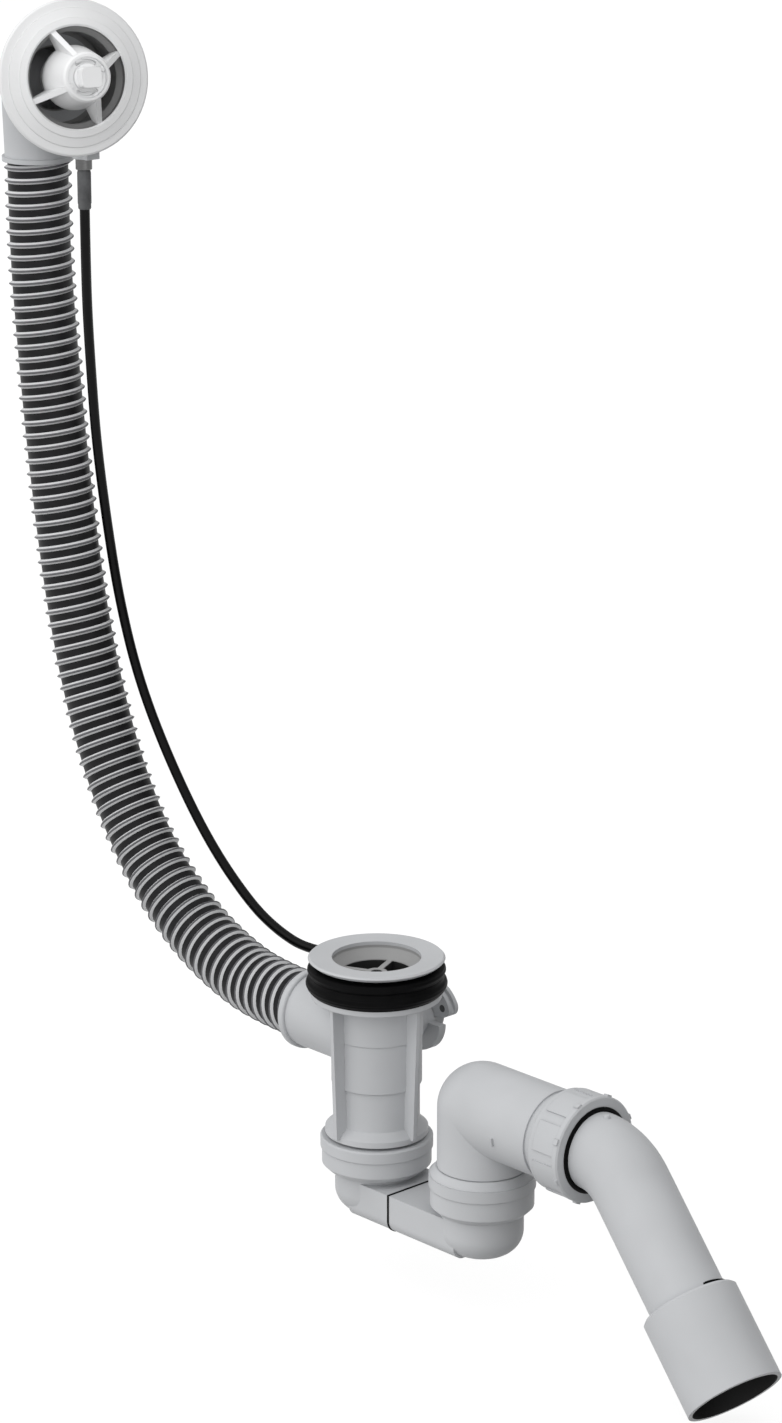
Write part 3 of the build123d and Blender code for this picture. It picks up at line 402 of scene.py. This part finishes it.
def moulded_plastic(name, colour, finish, roughness, hollows=()):
    """Matte moulded plastic: fine grain, faint cloudy tone, softly rounded edges, and dark grey painted
    shade in the given hollows.
    """
    material, tree, shader = start_material(name)
    cloud = object_noise(tree, width=0.05, detail=3)
    grain = object_noise(tree, width=finish.grain, detail=2)
    tone = shade_between(tree, cloud, tint(colour, 0.95), tint(colour, 1.04))
    # Paint the shade of each hollow into the tone
    for hollow in hollows:
        tone = paint_hollow_shade(tree, tone, hollow)
    tree.links.new(tone, shader.inputs["Base Color"])
    rough = number_between(tree, grain, roughness - 0.06, roughness + 0.06)
    tree.links.new(rough, shader.inputs["Roughness"])
    normal = relief(tree, grain, strength=0.25, depth=0.00012, edge_round=finish.edge_round)
    tree.links.new(normal, shader.inputs["Normal"])
    shader.inputs["Specular IOR Level"].default_value = 0.4
    return material


def moulded_rubber(name, colour, roughness, gloss):
    """Rubber: dull, with fine flow lines round the ring and a dusty bloom."""
    material, tree, shader = start_material(name)
    bloom = object_noise(tree, width=0.008, detail=4)
    lines = object_noise(tree, width=0.0012, detail=2, stretch=(0.15, 0.15, 1))
    tone = shade_between(tree, bloom, tint(colour, 0.7), tint(colour, 1.6))
    tree.links.new(tone, shader.inputs["Base Color"])
    rough = number_between(tree, bloom, roughness - 0.08, roughness + 0.08)
    tree.links.new(rough, shader.inputs["Roughness"])
    normal = relief(tree, lines, strength=0.5, depth=0.0002)
    tree.links.new(normal, shader.inputs["Normal"])
    shader.inputs["Specular IOR Level"].default_value = gloss
    return material


def plated_metal(name, colour):
    """Dull plated metal with fine turning marks."""
    material, tree, shader = start_material(name)
    marks = object_noise(tree, width=0.0006, detail=3, stretch=(0.3, 0.3, 2))
    tone = shade_between(tree, marks, tint(colour, 0.85), tint(colour, 1.1))
    tree.links.new(tone, shader.inputs["Base Color"])
    rough = number_between(tree, marks, low=0.25, high=0.42)
    tree.links.new(rough, shader.inputs["Roughness"])
    shader.inputs["Metallic"].default_value = 1.0
    return material


def hose_wall(name, colour):
    """Dark glossy hose wall with faint streaks round it."""
    material, tree, shader = start_material(name)
    streak = object_noise(tree, width=0.003, detail=3, stretch=(0.4, 0.4, 2))
    tone = shade_between(tree, streak, tint(colour, 0.55), tint(colour, 1.7))
    tree.links.new(tone, shader.inputs["Base Color"])
    rough = number_between(tree, streak, low=0.4, high=0.58)
    tree.links.new(rough, shader.inputs["Roughness"])
    normal = relief(tree, streak, strength=0.3, depth=0.0002)
    tree.links.new(normal, shader.inputs["Normal"])
    shader.inputs["Specular IOR Level"].default_value = 0.2
    return material


def finish_nodes(names, material):
    """Give CAD nodes this finish."""
    for name in names:
        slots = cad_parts[name].data.materials
        slots.clear()
        slots.append(material)


def finish_mouldings(names, label, colour, finish, roughness):
    """Give CAD nodes a moulded plastic, with a version of their own where painted shade darkens their
    insides.
    """
    plain = moulded_plastic(label, colour, finish, roughness)
    for name in names:
        hollows = PAINTED_SHADE_HOLLOWS.get(name, ())
        material = plain
        if hollows:
            material = moulded_plastic(f"{label}_{name}", colour, finish, roughness, hollows)
        finish_nodes((name,), material)
    return plain


def spun_ring(section, axis, steps):
    """Closed ring from a closed section of radius and height, spun about an upright axis."""
    build = bmesh.new()
    corners = [build.verts.new((axis[0] + radius, axis[1], height)) for radius, height in section]
    lines = [build.edges.new(pair) for pair in zip(corners, corners[1:] + corners[:1])]
    bmesh.ops.spin(
        build,
        geom=corners + lines,
        cent=(axis[0], axis[1], 0),
        axis=(0, 0, 1),
        angle=2 * math.pi,
        steps=steps,
        use_merge=True,
    )
    bmesh.ops.recalc_face_normals(build, faces=build.faces[:])
    for face in build.faces:
        face.smooth = True
    return build


def soften(build, parts, offset, segments, affect="EDGES"):
    """Round these edges or corners of a bmesh."""
    bmesh.ops.bevel(
        build,
        geom=parts,
        offset=offset,
        offset_type="OFFSET",
        segments=segments,
        profile=0.5,
        affect=affect,
        material=-1,
    )


def vectors(axis):
    """Point and heading of an axis."""
    return (Vector(part) for part in axis)


def add_object(name, data):
    """Object at the origin, in the scene."""
    item = bpy.data.objects.new(name, data)
    bpy.context.scene.collection.objects.link(item)
    return item


def aim(item, way, front):
    """Turn a lamp or camera so that its front axis points this way."""
    item.rotation_mode = "QUATERNION"
    item.rotation_quaternion = way.to_track_quat(front, "Y")


def built_mesh(name, build):
    """Mesh from a finished bmesh."""
    mesh = bpy.data.meshes.new(name)
    build.to_mesh(mesh)
    build.free()
    return mesh


def new_piece(name, build, materials, body):
    """Object at the origin from a finished bmesh, riding on its body."""
    mesh = built_mesh(name, build)
    piece = add_object(name, mesh)
    for material in materials:
        mesh.materials.append(material)
    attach(piece, body)
    return piece


def route_curve(name, route):
    """Smooth curve whose control points are the route's points."""
    curve = bpy.data.curves.new(name, "CURVE")
    curve.dimensions = "3D"
    curve.resolution_u = 16
    spline = curve.splines.new("NURBS")
    spline.points.add(len(route) - 1)
    for point, place in zip(spline.points, route):
        point.co = (*place, 1)
    spline.order_u = 3
    spline.use_endpoint_u = True
    return add_object(name, curve)


def route_line(route):
    """Points along the smooth curve of a route."""
    guide = route_curve("route_guide", route)
    bpy.context.view_layer.update()
    mesh = bpy.data.meshes.new_from_object(guide)
    line = [vertex.co.copy() for vertex in mesh.vertices]
    curve = guide.data
    bpy.data.objects.remove(guide)
    bpy.data.curves.remove(curve)
    bpy.data.meshes.remove(mesh)
    return line


def lay_along(build, line, side):
    """Bend a bmesh that stands along Z from z = 0 so that it follows a line square to side."""
    lengths = [0.0]
    for before, after in zip(line, line[1:]):
        lengths.append(lengths[-1] + (after - before).length)
    headings = []
    for index in range(len(line)):
        before = line[max(index - 1, 0)]
        after = line[min(index + 1, len(line) - 1)]
        headings.append((after - before).normalized())
    run = 0
    for vertex in sorted(build.verts, key=lambda item: item.co.z):
        along = min(max(vertex.co.z, 0.0), lengths[-1])
        while run < len(line) - 2 and lengths[run + 1] < along:
            run += 1
        share = (along - lengths[run]) / (lengths[run + 1] - lengths[run])
        place = line[run].lerp(line[run + 1], share)
        heading = headings[run].lerp(headings[run + 1], share).normalized()
        across = heading.cross(side)
        vertex.co = place + side * vertex.co.x + across * vertex.co.y


def line_length(line):
    return sum((after - before).length for before, after in zip(line, line[1:]))


def end_loop(build, height):
    """Open edges that lie at this height."""
    return [
        edge
        for edge in build.edges
        if edge.is_boundary and all(abs(vertex.co.z - height) < SAME_PLACE for vertex in edge.verts)
    ]


class WASTE_OT_mouldings(bpy.types.Operator):
    """Finish the pale mouldings of the waste, trap and outlet"""

    bl_idname = "waste.mouldings"
    bl_label = "Pale mouldings"

    def execute(self, context):
        finish = context.scene.waste_finish
        colour = finish.pale_colour
        pale = finish_mouldings(PALE_NODES, "pale_plastic_moulded", colour, finish, roughness=0.5)
        self.gate_mark(pale)
        self.corner_fin(pale)
        return {"FINISHED"}

    def corner_fin(self, pale):
        """Thin trimmed fin on the riser's leg, above the inner corner."""
        origin, heading = vectors(LEG_AXIS)
        outward = Vector((0.0, -0.985, -0.174)).normalized()
        leg_radius = 0.0233
        along = 0.0306
        thickness = 0.0008
        width = 0.0046
        height = 0.0024
        rounding = 0.0002
        place = origin + heading * along + outward * leg_radius
        axes = Matrix((heading, outward.cross(heading), outward)).transposed().to_4x4()
        size = Matrix.Diagonal((thickness, width, height, 1.0))
        build = bmesh.new()
        bmesh.ops.create_cube(build, size=1.0, matrix=Matrix.Translation(place) @ axes @ size)
        soften(build, build.edges[:], rounding, segments=2)
        new_piece("riser_corner_fin", build, (pale,), "riser")

    def gate_mark(self, pale):
        """Small nub that the mould's gate left on top of the outlet pipe, in front of the union nut."""
        pipe_top = Vector((0.167, 0.0, -0.0381))
        foot_radius = 0.0021
        top_radius = 0.0015
        height = 0.0018
        rounding = 0.0003
        build = bmesh.new()
        bmesh.ops.create_cone(
            build,
            cap_ends=True,
            segments=24,
            radius1=foot_radius,
            radius2=top_radius,
            depth=height,
            matrix=Matrix.Translation(pipe_top),
        )
        rim = [edge for edge in build.edges if all(vertex.co.z > pipe_top.z for vertex in edge.verts)]
        soften(build, rim, rounding, segments=2)
        new_piece("outlet_gate_mark", build, (pale,), "outlet")


class WASTE_OT_overflow_plate(bpy.types.Operator):
    """Finish the white overflow plate with its spindle"""

    bl_idname = "waste.overflow_plate"
    bl_label = "Overflow plate"

    def execute(self, context):
        finish = context.scene.waste_finish
        colour = finish.white_colour
        finish_mouldings(WHITE_NODES, "white_plastic_moulded", colour, finish, roughness=0.42)
        return {"FINISHED"}


class WASTE_OT_seals(bpy.types.Operator):
    """Finish the gaskets and sealing rings"""

    bl_idname = "waste.seals"
    bl_label = "Seals"

    def execute(self, context):
        finish = context.scene.waste_finish
        rubber = moulded_rubber("black_rubber_moulded", finish.rubber_colour, roughness=0.5, gloss=0.06)
        finish_nodes(RUBBER_NODES, rubber)
        self.body_gasket(context.scene.waste_gasket, rubber)
        self.seam_bead(rubber)
        self.sleeve_shadow_crescent(rubber)
        self.union_gap_shade_lip(rubber)
        return {"FINISHED"}

    def union_gap_shade_lip(self, rubber):
        """Lip of the union's seal, filling the gap between the nut and the outlet pipe out to the nut's
        front: the seal is real, and its black brought to the front is also painted shade standing for
        the shade in that gap.
        """
        origin, heading = vectors(LEG_AXIS)
        pipe_radius = 0.0199
        lip_radius = 0.0223
        back = 0.077
        front = 0.081
        edge_depth = 0.0004
        edge_width = 0.0005
        section = (
            (pipe_radius, back),
            (lip_radius, back),
            (lip_radius, front - edge_depth),
            (lip_radius - edge_width, front),
            (pipe_radius, front),
        )
        build = spun_ring(section, (0.0, 0.0), 72)
        turn = heading.to_track_quat("Z", "Y").to_matrix().to_4x4()
        bmesh.ops.transform(build, matrix=Matrix.Translation(origin) @ turn, verts=build.verts[:])
        new_piece("union_gap_shade_lip_seal", build, (rubber,), "riser")

    def seam_bead(self, rubber):
        """Bead that the squeezed seal forms round the outside of the trap's seam."""
        low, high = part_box("trap_seam_seal")
        grow = 0.0009
        depth = 0.0006
        width = 0.0012
        corner_radius = 0.007
        middle = (low + high) / 2
        build = bmesh.new()
        corners = [
            build.verts.new((middle.x - width / 2, y, z))
            for y, z in (
                (low.y - grow, low.z - grow),
                (high.y + grow, low.z - grow),
                (high.y + grow, high.z + grow),
                (low.y - grow, high.z + grow),
            )
        ]
        build.faces.new(corners)
        soften(build, corners[:2], corner_radius, segments=12, affect="VERTICES")
        inset = bmesh.ops.inset_region(build, faces=build.faces[:], thickness=depth, use_boundary=True)
        core = [face for face in build.faces if face not in inset["faces"]]
        bmesh.ops.delete(build, geom=core, context="FACES")
        raised = bmesh.ops.extrude_face_region(build, geom=build.faces[:], use_keep_orig=True)["geom"]
        moved = [item for item in raised if isinstance(item, bmesh.types.BMVert)]
        bmesh.ops.translate(build, verts=moved, vec=(width, 0, 0))
        bmesh.ops.recalc_face_normals(build, faces=build.faces[:])
        new_piece("trap_seam_bead", build, (rubber,), "trap")

    def sleeve_shadow_crescent(self, rubber):
        """Crescent of black rubber, shaped as the sleeve's seal pushed out on the upper right where the
        pipe goes in; it is a painted shadow, a dark piece put where the joint lies in shade.
        """
        origin, heading = vectors(OUTLET_AXIS)
        upper_right = Vector((0.648, 0.485, 0.585))
        outward = (upper_right - heading * upper_right.dot(heading)).normalized()
        foot = 0.0199
        crest = 0.0212
        front = 0.0776
        shoulder = 0.0783
        back = 0.0803
        reach = math.radians(42)
        section = ((foot, front), (crest, shoulder), (crest, back), (foot, back))
        build = bmesh.new()
        corners = [
            build.verts.new((radius * math.cos(reach), -radius * math.sin(reach), along))
            for radius, along in section
        ]
        lines = [build.edges.new(pair) for pair in zip(corners, corners[1:] + corners[:1])]
        bmesh.ops.spin(
            build,
            geom=corners + lines,
            cent=(0, 0, 0),
            axis=(0, 0, 1),
            angle=2 * reach,
            steps=24,
        )
        for vertex in build.verts:
            flat = Vector((vertex.co.x, vertex.co.y))
            swell = max(0.0, math.cos(math.atan2(flat.y, flat.x) / reach * math.pi / 2))
            flat = flat.normalized() * (foot + (flat.length - foot) * swell)
            vertex.co.x, vertex.co.y = flat
        bmesh.ops.remove_doubles(build, verts=build.verts[:], dist=SAME_PLACE)
        bmesh.ops.holes_fill(build, edges=build.edges[:])
        bmesh.ops.recalc_face_normals(build, faces=build.faces[:])
        axes = Matrix((outward, heading.cross(outward), heading)).transposed().to_4x4()
        bmesh.ops.transform(build, matrix=Matrix.Translation(origin) @ axes, verts=build.verts[:])
        new_piece("sleeve_shadow_crescent_seal", build, (rubber,), "outlet")

    def body_gasket(self, sizes, rubber):
        """Fat ring of two lips with a groove between them and fine ridges round its outside."""
        steps_per_ridge = 4
        groove_place = 0.4
        groove_width = 0.17
        low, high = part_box("body_gasket")
        section = [(sizes.bore_radius, low.z), (sizes.bore_radius, high.z)]
        steps = sizes.ridges * steps_per_ridge
        for step in range(steps + 1):
            share = step / steps
            edge = sizes.top_radius + (sizes.foot_radius - sizes.top_radius) * share
            bulge = (high.x - edge) * (1 - abs(2 * share - 1) ** sizes.fullness)
            groove = sizes.groove * math.exp(-(((share - groove_place) / groove_width) ** 2))
            cut = sizes.ridge_depth if step % steps_per_ridge == steps_per_ridge // 2 else 0.0
            section.append((edge + bulge - groove - cut, high.z + (low.z - high.z) * share))
        build = spun_ring(section, (0.0, 0.0), 96)
        gasket = new_piece("ridged_body_gasket", build, (rubber,), "base")
        gasket.data.set_sharp_from_angle(angle=math.radians(60))
        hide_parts("body_gasket")


class WASTE_OT_metal_ends(bpy.types.Operator):
    """Finish the cable's ferrule and wire nipples"""

    bl_idname = "waste.metal_ends"
    bl_label = "Metal ends"

    def execute(self, context):
        finish = context.scene.waste_finish
        finish_nodes(METAL_NODES, plated_metal("plated_metal_turned", finish.metal_colour))
        return {"FINISHED"}


class WASTE_OT_hose(bpy.types.Operator):
    """Build the overflow hose with its winding rib"""

    bl_idname = "waste.hose"
    bl_label = "Overflow hose"

    def execute(self, context):
        sizes = context.scene.waste_hose
        finish = context.scene.waste_finish
        line = route_line(HOSE_ROUTE)
        length = line_length(line)
        wall = sizes.core_radius
        crest = sizes.rib_radius
        start = sizes.pitch - sizes.rib_width
        rise = crest - wall
        shoulder = wall + rise * 0.7
        section = (
            (wall, 0.0),
            (wall, start),
            (shoulder, start + sizes.rib_width * 0.3),
            (crest, start + sizes.rib_width * 0.5),
            (shoulder, start + sizes.rib_width * 0.7),
            (wall, sizes.pitch),
        )
        build = bmesh.new()
        corners = [build.verts.new((radius, 0, along - sizes.pitch)) for radius, along in section]
        lines = [build.edges.new(pair) for pair in zip(corners, corners[1:])]
        turns = math.ceil(length / sizes.pitch) + 2
        bmesh.ops.spin(
            build,
            geom=corners + lines,
            cent=(0, 0, 0),
            axis=(0, 0, 1),
            dvec=(0, 0, sizes.pitch / sizes.steps),
            angle=2 * math.pi * turns,
            steps=sizes.steps * turns,
        )
        bmesh.ops.remove_doubles(build, verts=build.verts[:], dist=WELD)
        for height, outward in ((0.0, -1), (length, 1)):
            bmesh.ops.bisect_plane(
                build,
                geom=build.verts[:] + build.edges[:] + build.faces[:],
                plane_co=(0, 0, height),
                plane_no=(0, 0, outward),
                clear_outer=True,
            )
        ends = end_loop(build, 0.0) + end_loop(build, length)
        bore = bmesh.ops.create_cone(
            build,
            cap_ends=False,
            segments=sizes.steps,
            radius1=sizes.bore_radius,
            radius2=sizes.bore_radius,
            depth=length,
            matrix=Matrix.Translation((0, 0, length / 2)),
        )["verts"]
        bore_set = set(bore)
        rails = [
            edge
            for edge in build.edges
            if set(edge.verts) <= bore_set and abs(edge.verts[0].co.z - edge.verts[1].co.z) > length / 2
        ]
        bore_ends = [edge for edge in build.edges if set(edge.verts) <= bore_set and edge.is_boundary]
        for height in (0.0, length):
            rim = [edge for edge in ends if abs(edge.verts[0].co.z - height) < SAME_PLACE]
            bore_rim = [edge for edge in bore_ends if abs(edge.verts[0].co.z - height) < SAME_PLACE]
            bmesh.ops.bridge_loops(build, edges=rim + bore_rim)
        bmesh.ops.subdivide_edges(build, edges=rails, cuts=turns, use_grid_fill=True)
        bmesh.ops.recalc_face_normals(build, faces=build.faces[:])
        # Faces get the wall, the pale rib flanks, or the crown's dark grey, which is painted shade
        flank_from = wall + rise * 0.15
        crown_from = wall + rise * 0.75
        for face in build.faces:
            centre = face.calc_center_median()
            reach = Vector((centre.x, centre.y)).length
            face.material_index = (reach > flank_from) + (reach > crown_from)
            face.smooth = True
        lay_along(build, line, Vector((0, 1, 0)))
        core = hose_wall("hose_wall_plastic", finish.hose_core_colour)
        rib = moulded_plastic("hose_rib_plastic", finish.hose_rib_colour, finish, roughness=0.42)
        # The crown's dark grey is painted shade
        crown = moulded_plastic("hose_rib_crown_painted_shade", finish.hose_crown_shade_colour, finish, roughness=0.42)
        hose = new_piece("ribbed_overflow_hose", build, (core, rib, crown), "base")
        hose.data.set_sharp_from_angle(angle=math.radians(30))
        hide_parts("overflow_hose")
        return {"FINISHED"}


class WASTE_OT_cable(bpy.types.Operator):
    """Build the control cable and its boot"""

    bl_idname = "waste.cable"
    bl_label = "Control cable"

    def execute(self, context):
        sizes = context.scene.waste_cable
        finish = context.scene.waste_finish
        boot = self.boot(sizes, finish)
        cable = route_curve("control_cable", CABLE_ROUTE)
        cable.data.bevel_depth = sizes.radius
        cable.data.bevel_resolution = 5
        cable.data.use_fill_caps = True
        sheath = moulded_rubber("cable_sheath_plastic", finish.rubber_colour, roughness=0.3, gloss=0.14)
        cable.data.materials.append(sheath)
        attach(cable, "base")
        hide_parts("cable_sheath")
        return {"FINISHED"}

    def boot(self, sizes, finish):
        """Soft boot on the cable's upper end, a little narrower at its foot."""
        low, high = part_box("cable_boot")
        axis = (low + high) / 2
        height = high.z - low.z
        radius = sizes.boot_radius
        mouth = sizes.radius
        section = (
            (mouth, low.z),
            (radius * 0.86, low.z),
            (radius * 0.94, low.z + height * 0.03),
            (radius * 0.94, low.z + height * 0.12),
            (radius, low.z + height * 0.16),
            (radius, high.z - height * 0.08),
            (radius * 0.93, high.z - height * 0.03),
            (radius * 0.86, high.z),
            (mouth, high.z),
        )
        build = spun_ring(section, (axis.x, axis.y), 32)
        material = moulded_rubber("cable_boot_rubber", finish.boot_colour, roughness=0.5, gloss=0.25)
        boot = new_piece("soft_cable_boot", build, (material,), "base")
        boot.data.set_sharp_from_angle(angle=math.radians(50))
        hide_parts("cable_boot")
        return boot


class WASTE_OT_stage(bpy.types.Operator):
    """Set the pale floor, the soft light and the camera"""

    bl_idname = "waste.stage"
    bl_label = "Stage"

    def execute(self, context):
        stage = context.scene.waste_stage
        self.floor(stage)
        self.lights(context.scene, stage)
        self.camera(context.scene)
        return {"FINISHED"}

    def floor(self, stage):
        """Wide lit floor, hidden from diffuse rays so that it throws no light back."""
        build = bmesh.new()
        bmesh.ops.create_grid(
            build, x_segments=8, y_segments=8, size=15, matrix=Matrix.Translation((0, 0, cad_low.z))
        )
        floor = add_object("studio_floor", built_mesh("studio_floor", build))
        material, tree, shader = start_material("pale_studio_floor")
        cloud = object_noise(tree, width=0.4, detail=2)
        tone = shade_between(tree, cloud, tint(stage.floor_colour, 0.99), stage.floor_colour)
        tree.links.new(tone, shader.inputs["Base Color"])
        shader.inputs["Roughness"].default_value = 0.8
        shader.inputs["Specular IOR Level"].default_value = 0.1
        shader.inputs["Emission Color"].default_value = (1.0, 1.0, 1.0, 1)
        shader.inputs["Emission Strength"].default_value = stage.floor_glow
        floor.data.materials.append(material)
        floor.visible_diffuse = False

    def lights(self, scene, stage):
        """Half dome of white light, two soft lamps and a small panel."""
        world = bpy.data.worlds.new("studio_room")
        world.use_nodes = True
        tree = world.node_tree
        way = tree.nodes.new("ShaderNodeTexCoord").outputs["Generated"]
        middle = self.toward(stage.dome_turn, stage.dome_rise)
        facing = work_out(tree, "ShaderNodeVectorMath", "DOT_PRODUCT", way, middle)["Value"]
        dark = stage.shade_strength
        glow = number_between(tree, facing, dark, stage.dome_strength, -DOME_FADE, DOME_FADE)
        tree.nodes["Background"].inputs["Color"].default_value = (1.0, 1.0, 1.0, 1)
        tree.links.new(glow, tree.nodes["Background"].inputs["Strength"])
        scene.world = world
        self.sun("key_light", stage.key_strength, middle)
        self.sun("rim_light", stage.rim_strength, self.toward(RIM_TURN, RIM_RISE))
        self.head_panel(stage.panel_power)
        scene.view_settings.view_transform = "Standard"

    def toward(self, turn, rise):
        """Way to a light this many degrees right of the camera and above the floor."""
        heading = math.radians(CAMERA_TURN + turn)
        level = Vector((math.cos(heading), math.sin(heading), 0.0))
        return level * math.cos(math.radians(rise)) + Vector((0, 0, math.sin(math.radians(rise))))

    def sun(self, name, strength, way):
        """Wide soft lamp that shines from this way."""
        light = bpy.data.lights.new(name, "SUN")
        light.energy = strength
        light.angle = math.radians(LAMP_SPREAD)
        aim(add_object(name, light), way, "Z")

    def head_panel(self, power):
        """Small soft panel in front of the overflow plate."""
        distance = 0.6
        light = bpy.data.lights.new("head_panel", "AREA")
        light.energy = power
        light.size = 0.3
        light.spread = math.radians(LAMP_SPREAD)
        lamp = add_object("head_panel", light)
        origin, heading = vectors(HEAD_AXIS)
        lamp.location = origin + heading * distance
        aim(lamp, heading, "Z")

    def camera(self, scene):
        """Camera at the photograph's place."""
        lens = bpy.data.cameras.new("photo_camera")
        lens.lens = CAMERA_LENS
        lens.sensor_width = CAMERA_SENSOR
        lens.clip_end = 100
        camera = add_object("photo_camera", lens)
        camera.location = CAMERA_PLACE
        aim(camera, Vector(CAMERA_HEADING), "-Z")
        scene.camera = camera


class WASTE_PT_panel(bpy.types.Panel):
    """Pieces and finishes of the bath waste and overflow"""

    bl_idname = "WASTE_PT_panel"
    bl_label = "Bath waste"
    bl_space_type = "VIEW_3D"
    bl_region_type = "UI"
    bl_category = "Bath waste"

    def draw(self, context):
        for operator in OPERATORS:
            self.layout.operator(operator.bl_idname)
        for group in SETTINGS:
            box = self.layout.box()
            settings = getattr(context.scene, group)
            for name in settings.__annotations__:
                box.prop(settings, name)


OPERATORS = (
    WASTE_OT_stage,
    WASTE_OT_hose,
    WASTE_OT_cable,
    WASTE_OT_mouldings,
    WASTE_OT_overflow_plate,
    WASTE_OT_seals,
    WASTE_OT_metal_ends,
)
SETTINGS = {
    "waste_finish": FinishSettings,
    "waste_hose": HoseSettings,
    "waste_cable": CableSettings,
    "waste_gasket": GasketSettings,
    "waste_stage": StageSettings,
}
CLASSES = (*SETTINGS.values(), *OPERATORS, WASTE_PT_panel)


def register():
    for item in CLASSES:
        bpy.utils.register_class(item)
    for name, group in SETTINGS.items():
        setattr(bpy.types.Scene, name, PointerProperty(type=group))


def unregister():
    for name in SETTINGS:
        delattr(bpy.types.Scene, name)
    for item in reversed(CLASSES):
        bpy.utils.unregister_class(item)


def main():
    register()
    bpy.ops.waste.stage()
    bpy.ops.waste.hose()
    bpy.ops.waste.cable()
    bpy.ops.waste.mouldings()
    bpy.ops.waste.overflow_plate()
    bpy.ops.waste.seals()
    bpy.ops.waste.metal_ends()


if __name__ == "__main__":
    main()
